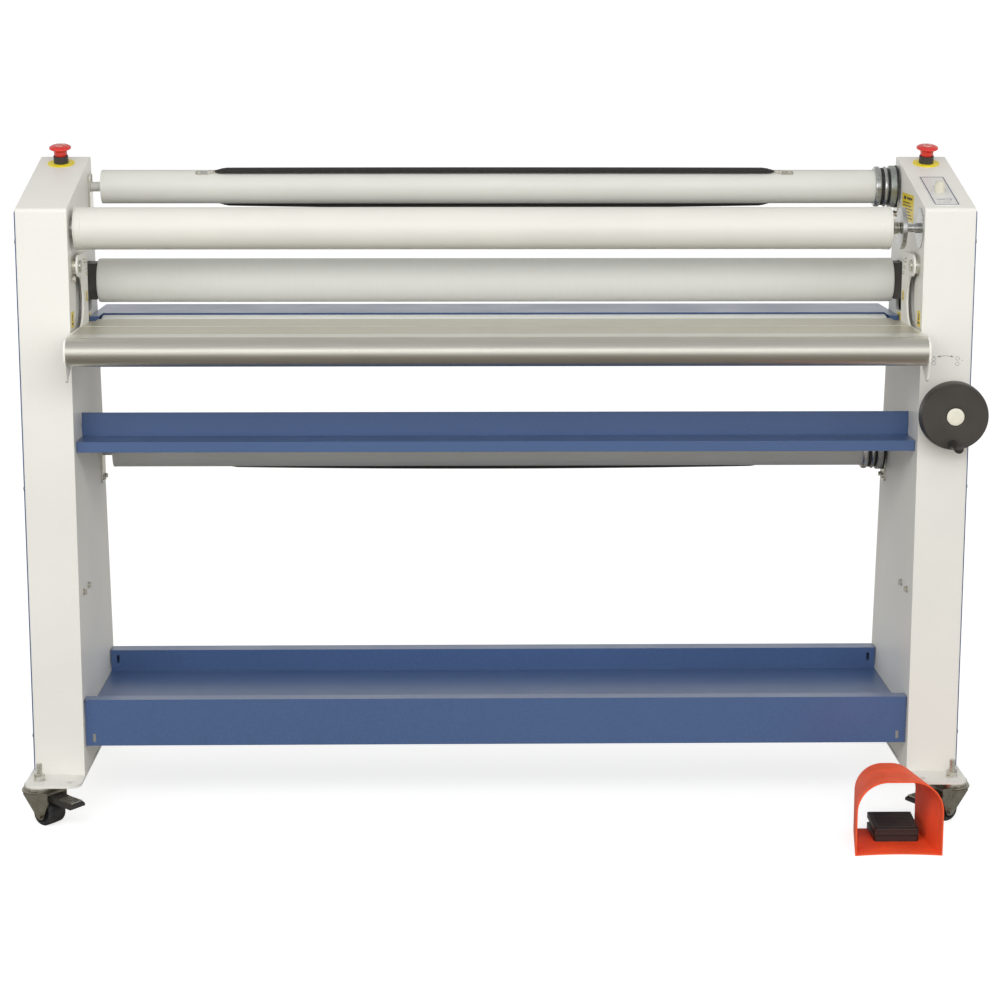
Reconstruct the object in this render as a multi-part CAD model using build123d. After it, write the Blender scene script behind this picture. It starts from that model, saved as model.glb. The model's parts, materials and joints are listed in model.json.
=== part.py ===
"""Cold roll laminator: two side cabinets on castors carrying nip rollers, tables, mandrels and trays.

Units are millimetres. +X runs along the rollers to the machine's right, +Y to its back, +Z up.
The origin is on the floor at the centre of the machine's footprint. Depths in this file are
measured back from the cabinets' front faces, and y_of turns a depth into a Y coordinate.
"""
from build123d import *
from math import atan2, cos, degrees, pi, radians, sin
import os

# ---------------------------------------------------------------- driving dimensions
FRONT_FACE_Y = -138.0
INNER_X = 837.5
CABINET_WIDTH = 100.0
SHEET = 3.0
INNER_PLATE = 6.0
SIDE_PANEL = 4.0
CABINET_BOTTOM_Z = 85.0
CABINET_FRONT_TOP_Z = 1229.0
CABINET_REAR_TOP_Z = 1318.0
CABINET_TOP_DEPTH = 330.0
CABINET_BOTTOM_DEPTH = 455.0

BASE_PLATE = 5.0
BASE_FRONT_DEPTH = -76.0
BASE_REAR_DEPTH = 550.0
BASE_OUTER_X = 949.0
STUD_X = 923.0
STUD_DEPTHS = (-36.0, 491.0)
STUD_R = 6.0
LEVELLING_HOLE_X = 858.6
LEVELLING_HOLE_DEPTHS = (-47.0, 502.0)
LEVELLING_HOLE_R = 8.5

WHEEL_R = 25.0
WHEEL_WIDTH = 44.0
CASTOR_TRAIL = 25.0
AXLE_R = 4.0

NIP_DEPTH = 250.0
ROLLER_R = 45.0
BOTTOM_ROLLER_Z = 950.0
TOP_ROLLER_CLOSED_Z = 1042.0
NIP_OPENING = 25.0
TOP_ROLLER_Z = TOP_ROLLER_CLOSED_Z + NIP_OPENING
TOP_SLEEVE_X = (-815.5, 820.0)
BOTTOM_SLEEVE_X = (-811.0, 811.0)
JOURNAL_R = 12.0
RUNNING_GAP = 0.05
FREE_GAP = 0.3

TABLE_Z = 993.0
TABLE_REAR_DEPTH = 194.0
TABLE_JOINT_DEPTH = -60.0
TABLE_HALF_WIDTH = 828.0
ARM = 4.0
NOSE_R = 28.0
NOSE_CENTRE = (-126.0, 965.0)
PIVOT = (50.0, 1114.0)
PIVOT_PIN_R = 8.0
PIVOT_BOSS_R = 16.5

LINER = (50.0, 1188.0)
LINER_R = 41.5
LINER_TUBE_X = (-829.0, 778.0)
LINER_DISC_X = (797.0, 806.0)
SPINDLE_R = 8.0

MANDREL_R = 34.5
MANDREL_X = (-811.0, 786.0)
MANDREL_SHAFT_R = 10.0
BRAKE_RING_R = 41.5
BRAKE_DISC_R = 43.5
BRAKE_GROOVE_R = 36.0
SUPPLY_MANDREL = (302.0, 1255.5)
LOWER_MANDREL = (358.0, 693.5)

LIFT_SHAFT = (292.0, 760.0)
LIFT_SHAFT_R = 9.0
CAM_X = (846.0, 858.0)
CAM_LOW_R = 20.0
HANDWHEEL_X = 898.0
HANDWHEEL_Z = 827.0
HANDWHEEL_R = 68.0
HANDWHEEL_REAR_DEPTH = -32.0
HANDWHEEL_THICK = 32.0
WORM_R = 10.5

MOTOR_CENTRE = (250.0, 500.0)
SPROCKET_X = (864.0, 872.0)
ROLLER_SPROCKET_R = 38.0
MOTOR_SPROCKET_R = 19.0
CHAIN_THICK = 6.0

ESTOP_X = 890.0
ESTOP_DEPTH = 278.0
PANEL_X = (858.5, 910.0)
PANEL_DEPTHS = (20.0, 190.0)
KNOB_X = 883.0
KNOB_DEPTH = 95.0

GUARD_X = 774.0
GUARD_FRONT_DEPTH = -275.0
GUARD_LENGTH = 157.0
GUARD_WALL = 3.0
GUARD_WIDTHS = (170.0, 125.0)
GUARD_HEIGHTS = (150.0, 139.0)
GUARD_CORNERS = (62.0, 54.0)
PEDAL_X = 783.0
PEDAL_DEPTHS = (-199.0, -109.0)
PEDAL_WIDTH = 88.0
PEDAL_BASE_Z = 14.0

SLOPE = (CABINET_REAR_TOP_Z - CABINET_FRONT_TOP_Z) / CABINET_TOP_DEPTH
SLOPE_DEG = degrees(atan2(CABINET_REAR_TOP_Z - CABINET_FRONT_TOP_Z, CABINET_TOP_DEPTH))


# ---------------------------------------------------------------- shape helpers
def y_of(depth):
    """Y coordinate of a depth behind the cabinets' front faces."""
    return FRONT_FACE_Y + depth


def block(x, depth, z):
    """Box between the low and high limits given for X, depth and Z."""
    centre = ((x[0] + x[1]) / 2, y_of((depth[0] + depth[1]) / 2), (z[0] + z[1]) / 2)
    return Pos(*centre) * Box(abs(x[1] - x[0]), abs(depth[1] - depth[0]), abs(z[1] - z[0]))


def rod_x(x, at, r):
    """Cylinder along X between two X limits, at (depth, z)."""
    return Pos((x[0] + x[1]) / 2, y_of(at[0]), at[1]) * Rot(0, 90, 0) * Cylinder(r, x[1] - x[0])


def rod_y(depth, x, z, r):
    """Cylinder along Y between two depths."""
    return Pos(x, y_of((depth[0] + depth[1]) / 2), z) * Rot(90, 0, 0) * Cylinder(r, depth[1] - depth[0])


def rod_z(z, x, depth, r):
    """Upright cylinder between two heights."""
    return Pos(x, y_of(depth), (z[0] + z[1]) / 2) * Cylinder(r, z[1] - z[0])


def side_face(points):
    """Face in the YZ plane from (depth, z) points."""
    return Plane.YZ * make_face(Polyline([(y_of(d), z) for d, z in points], close=True))


def slab_x(points, x):
    """Prism along X whose outline is given in (depth, z)."""
    return extrude(Pos(x[0], 0, 0) * side_face(points), amount=x[1] - x[0], dir=(1, 0, 0))


def turned_x(profile, at):
    """Solid turned about an X axis at (depth, z), from (x, radius) points."""
    outline = make_face(Polyline([(x, r) for x, r in profile], close=True))
    return Pos(0, y_of(at[0]), at[1]) * revolve(outline, axis=Axis.X)


def hexagon_z(z, x, depth, across_flats):
    """Upright hexagonal prism, as a nut or a bolt head."""
    outline = RegularPolygon(across_flats / 2, 6, major_radius=False)
    return Pos(x, y_of(depth), z[0]) * extrude(outline, amount=z[1] - z[0])


def bolt_head(x_face, at, inward, across_flats=10.0, height=5.0):
    """Hexagonal bolt head with a washer on a plate face, sticking out along X."""
    washer = Cylinder(across_flats * 0.75, 1.5, align=(Align.CENTER, Align.CENTER, Align.MIN))
    head = extrude(RegularPolygon(across_flats / 2, 6, major_radius=False), amount=height)
    solid = washer + Pos(0, 0, 1.5) * head
    return Pos(x_face, y_of(at[0]), at[1]) * Rot(0, 90 * inward, 0) * solid


def mirrored(shape):
    """The same shape on the machine's left."""
    return mirror(shape, about=Plane.YZ)


def slope_z(depth):
    """Height of the cabinets' sloped top at a depth."""
    return CABINET_FRONT_TOP_Z + SLOPE * depth


def on_slope(x, depth):
    """Location on the sloped top with its Z axis square to the sheet."""
    return Pos(x, y_of(depth), slope_z(depth)) * Rot(SLOPE_DEG, 0, 0)


def rear_edge_depth(z):
    """Depth of the cabinets' slanted rear edge at a height."""
    share = (CABINET_REAR_TOP_Z - z) / (CABINET_REAR_TOP_Z - CABINET_BOTTOM_Z)
    return CABINET_TOP_DEPTH + (CABINET_BOTTOM_DEPTH - CABINET_TOP_DEPTH) * share


# ---------------------------------------------------------------- side cabinets
CABINET_OUTLINE = [
    (0, CABINET_BOTTOM_Z),
    (0, CABINET_FRONT_TOP_Z),
    (CABINET_TOP_DEPTH, CABINET_REAR_TOP_Z),
    (CABINET_BOTTOM_DEPTH, CABINET_BOTTOM_Z),
]
CABINET_CORNER_R = 8.0
PANEL_LIP = 18.0
LIFT_BLOCK_DEPTHS = (220.0, 280.0)
LIFT_BLOCK_HALF_HEIGHT = 37.0


def cabinet_face(inset):
    """Outline of the cabinet seen from the side, shrunk all round by inset."""
    outline = make_face(Polyline([(y_of(d), z) for d, z in CABINET_OUTLINE], close=True))
    top = [v for v in outline.vertices() if v.Y > CABINET_FRONT_TOP_Z - 1]
    rounded = fillet(top, CABINET_CORNER_R)
    shrunk = offset(rounded, amount=-inset, kind=Kind.INTERSECTION) if inset else rounded
    return Plane.YZ * shrunk


def cabinet_prism(inset, x):
    return extrude(Pos(x[0], 0, 0) * cabinet_face(inset), amount=x[1] - x[0], dir=(1, 0, 0))


def crescent_slot():
    """Curved cut in the inner plate that the table arm's boss and latch run in."""
    plate = (INNER_X - 1, INNER_X + INNER_PLATE + 1)
    front = (70, 1098)
    middle = (87, 1047)
    low = (62, 1000)
    width = 30.0
    edge = ThreePointArc(*[(y_of(d), z) for d, z in (front, middle, low)])
    foot = Line((y_of(low[0]), low[1]), (y_of(low[0] + width), low[1]))
    back = ThreePointArc(
        (y_of(low[0] + width), low[1]),
        (y_of(middle[0] + width), middle[1]),
        (y_of(front[0] + width), front[1]),
    )
    top = Line((y_of(front[0] + width), front[1]), (y_of(front[0]), front[1]))
    face = Plane.YZ * make_face([edge, foot, back, top])
    slot = extrude(Pos(plate[0], 0, 0) * face, amount=plate[1] - plate[0], dir=(1, 0, 0))
    return slot + rod_x(plate, (front[0] + width / 2, front[1]), width / 2)


def right_cabinet():
    outer = (INNER_X, INNER_X + CABINET_WIDTH)
    shell = cabinet_prism(0, outer)
    shell -= cabinet_prism(SHEET, (INNER_X + INNER_PLATE, outer[1] - SHEET))
    shell -= cabinet_prism(PANEL_LIP, (outer[1] - SHEET - 1, outer[1] + 1))
    plate = (INNER_X - 1, INNER_X + INNER_PLATE + 1)
    window_z = (
        TOP_ROLLER_CLOSED_Z - LIFT_BLOCK_HALF_HEIGHT - 1.5,
        TOP_ROLLER_Z + LIFT_BLOCK_HALF_HEIGHT + 1.5,
    )
    window_depth = (LIFT_BLOCK_DEPTHS[0] - FREE_GAP, LIFT_BLOCK_DEPTHS[1] + FREE_GAP)
    shell -= block(plate, window_depth, window_z)
    shell -= crescent_slot()
    shell -= rod_x(plate, (NIP_DEPTH, BOTTOM_ROLLER_Z), 26.0)
    shell -= rod_x(plate, LIFT_SHAFT, LIFT_SHAFT_R + 0.5)
    shell -= rod_x(plate, PIVOT, PIVOT_PIN_R)
    shell -= rod_x(plate, LINER, SPINDLE_R)
    return shell


def with_estop_hole(cabinet, x):
    return cabinet - on_slope(x, ESTOP_DEPTH) * Cylinder(11.2, 20)


def finished_right_cabinet():
    body = with_estop_hole(right_cabinet(), ESTOP_X)
    body -= rod_y((-1, SHEET + 1), HANDWHEEL_X, HANDWHEEL_Z, 9.5)
    body -= on_slope(KNOB_X, KNOB_DEPTH) * Cylinder(3.3, 20)
    return body


def finished_left_cabinet():
    body = with_estop_hole(mirrored(right_cabinet()), -ESTOP_X)
    body -= rod_x((-INNER_X - INNER_PLATE - 1, -INNER_X + 1), LATCH, LATCH_STEM_R + RUNNING_GAP)
    return body


PANEL_INSET = 9.0
PANEL_SCREW_ROWS = (165.0, 675.0, 1165.0)
PANEL_SCREW_INSET = 17.0


def right_side_panel():
    outer = INNER_X + CABINET_WIDTH
    return cabinet_prism(PANEL_INSET, (outer, outer + SIDE_PANEL))


def panel_screws():
    """Dome-headed screws down the front and rear edges of both side panels."""
    outer = INNER_X + CABINET_WIDTH + SIDE_PANEL
    screws = []
    for z in PANEL_SCREW_ROWS:
        for depth in (PANEL_SCREW_INSET, rear_edge_depth(z) - PANEL_SCREW_INSET):
            dome = Sphere(9.0) & (Pos(0, 0, 9.0) * Box(20, 20, 6.0))
            head = Pos(outer - 6.0, y_of(depth), z) * Rot(0, 90, 0) * dome
            screws += [head, mirrored(head)]
    return screws


# ---------------------------------------------------------------- base plates and castors
def right_base_plate():
    x = (INNER_X - 1.5, BASE_OUTER_X)
    plate = block(x, (BASE_FRONT_DEPTH, BASE_REAR_DEPTH), (CABINET_BOTTOM_Z - BASE_PLATE, CABINET_BOTTOM_Z))
    plate = fillet(plate.edges().filter_by(Axis.Z), 24.0)
    for depth in STUD_DEPTHS:
        plate -= rod_z((70, 90), STUD_X, depth, STUD_R + 0.5)
    for depth in LEVELLING_HOLE_DEPTHS:
        plate -= rod_z((70, 90), LEVELLING_HOLE_X, depth, LEVELLING_HOLE_R)
    return plate


def base_plates():
    return [right_base_plate(), mirrored(right_base_plate())]


RACE_R = 31.0
CROWN_R = 34.0
CROWN_Z = (67.0, 71.7)
FORK_LEG_Y = (24.5, 28.0)
FORK_X = (-20.0, 47.0)
AXLE_EYE_HALF = 10.0
AXLE_NUT = (13.0, 5.5)
BRAKE_PIN = (42.0, 58.0)
BRAKE_PIN_R = 2.5
BRAKE_WIDTH = 34.0
WHEEL_SHOULDER = 3.5
HUB_R = 9.0
HUB_RECESS_R = 17.0


def castor_stem(x, depth):
    """Threaded stem with its upper ball race and the rivet head that keeps the fork on."""
    stem = rod_z((60.0, 121.0), x, depth, STUD_R)
    stem += rod_z((72.0, CABINET_BOTTOM_Z - BASE_PLATE), x, depth, RACE_R)
    stem += rod_z((62.0, CROWN_Z[0] - FREE_GAP), x, depth, 9.0)
    nut = hexagon_z((88.0, 98.8), x, depth, 19.0) - rod_z((80, 110), x, depth, STUD_R)
    washer = rod_z((CABINET_BOTTOM_Z, 88.0), x, depth, 12.0) - rod_z((80, 110), x, depth, STUD_R)
    return [chamfer_top(stem), nut, washer]


def chamfer_top(stem):
    top = stem.edges().filter_by(GeomType.CIRCLE).sort_by(Axis.Z)[-1]
    return chamfer(top, 1.2)


def castor_place(x, depth, heading):
    """Location of a castor's swivel axis at the floor, its wheel trailing along the heading."""
    return Pos(x, y_of(depth), 0) * Rot(0, 0, heading)


def castor_fork():
    """Pressed fork: a round crown about the stem and two legs tapering to the axle."""
    crown_height = CROWN_Z[1] - CROWN_Z[0]
    crown_middle = sum(CROWN_Z) / 2
    crown = Pos(0, 0, crown_middle) * Cylinder(CROWN_R, crown_height)
    tongue = Box(FORK_X[1] - FORK_X[0] - 8, 2 * FORK_LEG_Y[1], crown_height)
    crown += Pos(sum(FORK_X) / 2 + 4, 0, crown_middle) * tongue
    crown -= Cylinder(STUD_R + RUNNING_GAP, 200)
    front, rear = FORK_X
    eye = (CASTOR_TRAIL - AXLE_EYE_HALF, CASTOR_TRAIL + AXLE_EYE_HALF)
    below_axle = WHEEL_R - AXLE_EYE_HALF - 1
    leg_face = Plane.XZ * make_face(Polyline(
        [(front, CROWN_Z[1]), (front, 60), (eye[0], 20), (eye[0] + 5, below_axle), (eye[1] - 5, below_axle),
         (eye[1], 20), (rear, 50), (rear, CROWN_Z[1])], close=True))
    fork = crown
    thickness = FORK_LEG_Y[1] - FORK_LEG_Y[0]
    for side in (FORK_LEG_Y[0], -FORK_LEG_Y[1]):
        fork += extrude(Pos(0, side, 0) * leg_face, amount=thickness, dir=(0, 1, 0))
    fork -= cross_rod(CASTOR_TRAIL, WHEEL_R, AXLE_R, 4 * FORK_LEG_Y[1])
    fork -= cross_rod(BRAKE_PIN[0], BRAKE_PIN[1], BRAKE_PIN_R, 4 * FORK_LEG_Y[1])
    return fork


def cross_rod(x, z, r, length):
    """Cylinder across a castor's own Y axis."""
    return Pos(x, 0, z) * Rot(90, 0, 0) * Cylinder(r, length)


def castor_axle():
    """Axle bolt with a hexagon head and a lock nut."""
    axle = cross_rod(CASTOR_TRAIL, WHEEL_R, AXLE_R, 2 * FORK_LEG_Y[1] + 2)
    for side in (1, -1):
        nut = extrude(RegularPolygon(AXLE_NUT[0] / 2, 6, major_radius=False), amount=AXLE_NUT[1])
        axle += Pos(CASTOR_TRAIL, -side * FORK_LEG_Y[1], WHEEL_R) * Rot(90 * side, 0, 0) * nut
    return axle


def brake_pin():
    return cross_rod(BRAKE_PIN[0], BRAKE_PIN[1], BRAKE_PIN_R, 2 * FORK_LEG_Y[1] + 2)


def castor_wheel():
    """Wide solid wheel with rounded shoulders and a recessed hub, turned about the axle."""
    half = WHEEL_WIDTH / 2
    bore = AXLE_R + RUNNING_GAP
    face = [(half, WHEEL_R - WHEEL_SHOULDER), (half, HUB_RECESS_R + 1), (half - 3, HUB_RECESS_R),
            (half - 3, HUB_R), (half + 1, HUB_R - 1), (half + 1, bore)]
    near = [(-across, r) for across, r in reversed(face)]
    tread = [(-half + WHEEL_SHOULDER, WHEEL_R), (half - WHEEL_SHOULDER, WHEEL_R)]
    outline = make_face(Polyline(near + tread + face, close=True))
    return Pos(CASTOR_TRAIL, 0, WHEEL_R) * Rot(0, 0, 90) * revolve(outline, axis=Axis.X)


def brake_pedal():
    """Long foot lever behind the wheel, with a cam that meets the tread when it is pressed."""
    pin_x, pin_z = BRAKE_PIN
    over = [(-6, 4), (3, 6.5), (27, 2), (55, -0.5), (65, -5), (65, -10)]
    under = [(57, -13.5), (31, -10.5), (13, -8), (3, -8), (-1, -11), (-4, -10.8), (-6, -6)]
    outline = [(pin_x + x, pin_z + z) for x, z in over + under]
    lever = Plane.XZ * make_face(Polyline(outline, close=True))
    solid = extrude(Pos(0, -BRAKE_WIDTH / 2, 0) * lever, amount=BRAKE_WIDTH, dir=(0, 1, 0))
    return solid - cross_rod(pin_x, pin_z, BRAKE_PIN_R + RUNNING_GAP, 2 * BRAKE_WIDTH)


CASTORS = {
    "front_left": (-STUD_X, STUD_DEPTHS[0], -35.0),
    "front_right": (STUD_X, STUD_DEPTHS[0], -150.0),
    "rear_left": (-STUD_X, STUD_DEPTHS[1], 40.0),
    "rear_right": (STUD_X, STUD_DEPTHS[1], 125.0),
}


# ---------------------------------------------------------------- trays and tables
TRAY_HALF = 835.5
TRAY_SHEET = 2.0
TRAY_FLOOR_Z = 201.0
TRAY_DEPTHS = (16.0, 385.0)
TRAY_FRONT_Z = (143.0, 237.5)
TRAY_REAR_TOP_Z = 246.5
TRAY_RETURNS = (27.0, 36.0)
HANGING_SLOT = (6.0, 17.0)
FRONT_SLOT = (818.5, 158.5)
REAR_SLOT = (820.0, 227.5)
SHELF_DEPTHS = (20.0, 96.0)
SHELF_FLOOR_Z = 766.0
EXIT_DEPTHS = (299.0, 475.0)
EXIT_TOP_Z = 993.0
EXIT_EAR_X = 817.0
EXIT_EAR_DEPTH = 236.0


def bottom_tray():
    """Deep tray between the cabinets: front fascia, floor, rear wall and top returns."""
    front, rear = TRAY_DEPTHS
    low, top = TRAY_FRONT_Z
    lip = front + TRAY_RETURNS[0]
    tray = sheet_strip([(front, low), (front, top), (lip, top), (lip, top - 11.5)], TRAY_HALF)
    under_floor = TRAY_FLOOR_Z - TRAY_SHEET
    tray += block((-TRAY_HALF, TRAY_HALF), TRAY_DEPTHS, (under_floor, TRAY_FLOOR_Z))
    back = rear + TRAY_RETURNS[1]
    rear_wall = [(rear, under_floor), (rear, TRAY_REAR_TOP_Z), (back, TRAY_REAR_TOP_Z), (back, under_floor + 6)]
    tray += sheet_strip(rear_wall, TRAY_HALF)
    for side in (-1, 1):
        tray -= hanging_slot(side * FRONT_SLOT[0], front, FRONT_SLOT[1])
        tray -= hanging_slot(side * REAR_SLOT[0], rear, REAR_SLOT[1])
    return tray


def hanging_slot(x, depth, z):
    """Small upright slot cut through a wall of the tray."""
    wide, high = HANGING_SLOT
    return block((x - wide / 2, x + wide / 2), (depth - 5, depth + 5), (z - high / 2, z + high / 2))


def sheet_strip(points, half_width, thickness=TRAY_SHEET):
    """Folded sheet made of one straight strip per pair of (depth, z) points."""
    half = thickness / 2
    strips = []
    for (d0, z0), (d1, z1) in zip(points, points[1:]):
        depth = (min(d0, d1) - half, max(d0, d1) + half)
        z = (min(z0, z1) - half, max(z0, z1) + half)
        strips.append(block((-half_width, half_width), depth, z))
    solid = strips[0]
    for strip in strips[1:]:
        solid += strip
    return solid


def mid_shelf():
    """Narrow shelf with a raised back and a front lip turned down."""
    front, rear = SHELF_DEPTHS
    outline = [(front, SHELF_FLOOR_Z - 19), (front, SHELF_FLOOR_Z), (rear, SHELF_FLOOR_Z), (rear, SHELF_FLOOR_Z + 48)]
    return sheet_strip(outline, INNER_X - 1.5)


def exit_table():
    """Table behind the nip, with ears that reach forward past the bottom roller's ends."""
    half = INNER_X - 1.5
    front, rear = EXIT_DEPTHS
    deck = sheet_strip([(front, EXIT_TOP_Z - 18), (front, EXIT_TOP_Z), (rear, EXIT_TOP_Z), (rear, EXIT_TOP_Z - 23)],
                       half)
    top = (EXIT_TOP_Z - 1, EXIT_TOP_Z + 1)
    for side in (-1, 1):
        ear = sorted((side * EXIT_EAR_X, side * half))
        deck += block(ear, (EXIT_EAR_DEPTH, front + 1), top)
        deck += block(ear, (EXIT_EAR_DEPTH, EXIT_EAR_DEPTH + TRAY_SHEET), (EXIT_TOP_Z - 15, top[1]))
    return deck


DECK = 3.0
DECK_JOINT = (60.0, 61.5)
STIFFENER_DEPTHS = (-10.0, 60.0, 130.0)
STIFFENER_HALF = 15.0
STIFFENER_HEIGHT = 12.0
STIFFENER_WALL = 2.0
CORNER_NOTCH = (12.0, 158.0)


def feed_table():
    """Flat deck in front of the nip, stiffened below, with a shallow joint line across it."""
    half = TABLE_HALF_WIDTH - ARM
    deck = block((-half, half), (TABLE_JOINT_DEPTH, TABLE_REAR_DEPTH), (TABLE_Z - DECK, TABLE_Z))
    deck -= block((-half - 1, half + 1), DECK_JOINT, (TABLE_Z - 1.2, TABLE_Z + 1))
    under = TABLE_Z - DECK
    hollow = STIFFENER_HALF - STIFFENER_WALL
    for depth in STIFFENER_DEPTHS:
        deck += block((-half, half), (depth - STIFFENER_HALF, depth + STIFFENER_HALF), (under - STIFFENER_HEIGHT, under))
        deck -= block((-half - 1, half + 1), (depth - hollow, depth + hollow),
                      (under - STIFFENER_HEIGHT + STIFFENER_WALL, under - STIFFENER_WALL))
    for side in (-1, 1):
        notch = sorted((side * (half - CORNER_NOTCH[0]), side * (half + 1)))
        deck -= block(notch, (CORNER_NOTCH[1], TABLE_REAR_DEPTH + 6), (TABLE_Z - 30, TABLE_Z + 1))
    return deck


def nose_outline(inset):
    """Closed section of the rounded nose extrusion."""
    radius = NOSE_R - inset
    depth, z = NOSE_CENTRE
    top = z + radius
    bottom = z - radius
    rear = TABLE_JOINT_DEPTH - inset
    arc = ThreePointArc((y_of(depth), top), (y_of(depth - radius), z), (y_of(depth), bottom))
    base = Polyline(
        (y_of(depth), bottom), (y_of(depth + 24), bottom), (y_of(rear), z + 8 + inset), (y_of(rear), top),
        (y_of(depth), top))
    return Plane.YZ * make_face([arc, base])


def table_nose():
    """Hollow satin extrusion along the table's front edge."""
    half = TABLE_HALF_WIDTH - ARM
    outer = extrude(Pos(-half, 0, 0) * nose_outline(0), amount=2 * half, dir=(1, 0, 0))
    hollow = extrude(Pos(-half - 1, 0, 0) * nose_outline(2.5), amount=2 * half + 2, dir=(1, 0, 0))
    return outer - hollow


ARM_HEAD_R = 22.2
ARM_REAR = 152.0
ARM_FOOT = 17.0
FINGER = ((-122.0, 911.0), (-132.0, 907.0), (-140.0, 915.0))


def right_table_arm():
    """End plate of the feed table: a finger at the nose, a long foot and the crescent-fronted arm."""
    pivot_d, pivot_z = PIVOT
    nose_d, nose_z = NOSE_CENTRE
    nose_front = nose_d - NOSE_R
    foot = TABLE_Z - ARM_FOOT
    arm_start = (y_of(62), TABLE_Z + 2)
    neck = (y_of(pivot_d + 10), pivot_z - 20)
    crown = (y_of(pivot_d + 4), pivot_z + ARM_HEAD_R)
    crescent = ThreePointArc(arm_start, (y_of(96), 1046), neck)
    head = ThreePointArc(neck, (y_of(pivot_d - ARM_HEAD_R), pivot_z), crown)
    finger = [(y_of(d), z) for d, z in FINGER]
    back = Polyline(
        crown, (y_of(ARM_REAR - 14), pivot_z + ARM_HEAD_R), (y_of(ARM_REAR), pivot_z + 8),
        (y_of(ARM_REAR), foot), (y_of(-64), foot), (y_of(-80), foot - 40), finger[0])
    tip = ThreePointArc(*finger)
    nose = Line(finger[2], (y_of(nose_front), 950))
    front = Line((y_of(nose_front), 950), (y_of(nose_front), nose_z))
    over = ThreePointArc(
        (y_of(nose_front), nose_z), (y_of(nose_d - NOSE_R * cos(pi / 4)), nose_z + NOSE_R * sin(pi / 4)),
        (y_of(nose_d), nose_z + NOSE_R))
    top = Polyline((y_of(nose_d), TABLE_Z), (y_of(56), TABLE_Z), arm_start)
    face = Plane.YZ * make_face([crescent, head, back, tip, nose, front, over, top])
    plate = extrude(Pos(TABLE_HALF_WIDTH - ARM, 0, 0) * face, amount=ARM, dir=(1, 0, 0))
    return plate - rod_x((TABLE_HALF_WIDTH - 10, TABLE_HALF_WIDTH + 10), PIVOT, PIVOT_PIN_R + RUNNING_GAP)


def table_arms():
    return [right_table_arm(), mirrored(right_table_arm())]


def pivot_pin():
    """Fixed pin of the table: a spacing boss on the plate and a headed pin through the arm."""
    inner = TABLE_HALF_WIDTH - ARM
    pin = rod_x((inner - 4, INNER_X + INNER_PLATE), PIVOT, PIVOT_PIN_R)
    pin += rod_x((TABLE_HALF_WIDTH + FREE_GAP, INNER_X), PIVOT, PIVOT_BOSS_R)
    pin += rod_x((inner - 4, inner - FREE_GAP), PIVOT, 12.0)
    return pin


LATCH = (30.0, 1090.0)
LATCH_STEM_R = 4.0


def table_latch_button():
    """Domed push button on a sprung stem through the left plate, which frees the table."""
    stem = rod_x((-INNER_X - 16, -INNER_X + 5.5), LATCH, LATCH_STEM_R)
    button = rod_x((-INNER_X + 5.3, -INNER_X + 8.7), LATCH, 7.5)
    inner_end = button.edges().filter_by(GeomType.CIRCLE).sort_by(Axis.X)[-1]
    return stem + fillet(inner_end, 2.5)


# ---------------------------------------------------------------- nip rollers
def roller_sleeve(x, z, bore):
    """Rubber covering with rounded ends."""
    soft = 6.0
    profile = [(x[0], bore), (x[0], ROLLER_R - soft), (x[0] + soft * 0.3, ROLLER_R - soft * 0.3),
               (x[0] + soft, ROLLER_R), (x[1] - soft, ROLLER_R), (x[1] - soft * 0.3, ROLLER_R - soft * 0.3),
               (x[1], ROLLER_R - soft), (x[1], bore)]
    return turned_x(profile, (NIP_DEPTH, z))


CORE_R = 37.0


def roller_core(x, z, ends):
    """Hollow steel core of a roller with a turned-down journal at each end."""
    profile = [(ends[0], 0), (ends[0], JOURNAL_R), (x[0] - 0.5, JOURNAL_R), (x[0] - 0.5, CORE_R),
               (x[1] + 0.5, CORE_R), (x[1] + 0.5, JOURNAL_R), (ends[1], JOURNAL_R), (ends[1], 0)]
    return turned_x(profile, (NIP_DEPTH, z)) - rod_x((x[0] + 30, x[1] - 30), (NIP_DEPTH, z), CORE_R - 7)


def lift_block(x_inner):
    """Slide block of the top roller, with a leg that stands on the lift cam inside the cabinet."""
    z = (TOP_ROLLER_Z - LIFT_BLOCK_HALF_HEIGHT, TOP_ROLLER_Z + LIFT_BLOCK_HALF_HEIGHT)
    body = block((x_inner, CAM_X[1]), LIFT_BLOCK_DEPTHS, z)
    leg_depth = (LIFT_SHAFT[0] - 6, LIFT_SHAFT[0] + 6)
    inside = (CAM_X[0], CAM_X[1])
    body += block(inside, (LIFT_BLOCK_DEPTHS[1] - 5, leg_depth[1]), z)
    foot_z = LIFT_SHAFT[1] + CAM_LOW_R + NIP_OPENING + 0.8 + 6.0
    body += block(inside, leg_depth, (foot_z, z[0] + 5))
    body += rod_x(inside, (LIFT_SHAFT[0], foot_z), 6.0)
    bore = rod_x((x_inner - 1, CAM_X[1] + 1), (NIP_DEPTH, TOP_ROLLER_Z), JOURNAL_R + RUNNING_GAP)
    return body - bore


def lift_blocks():
    left = mirrored(lift_block(-TOP_SLEEVE_X[0] + 1.5))
    return [lift_block(TOP_SLEEVE_X[1] + 1.5), left]


def lower_bearing():
    """Flanged bearing of the bottom roller, let into the inner plate."""
    at = (NIP_DEPTH, BOTTOM_ROLLER_Z)
    housing = rod_x((INNER_X - 8, INNER_X + INNER_PLATE), at, 26.0)
    housing += rod_x((INNER_X + INNER_PLATE, INNER_X + INNER_PLATE + 10), at, 34.0)
    return housing - rod_x((INNER_X - 20, INNER_X + 30), at, JOURNAL_R + RUNNING_GAP)


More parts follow.
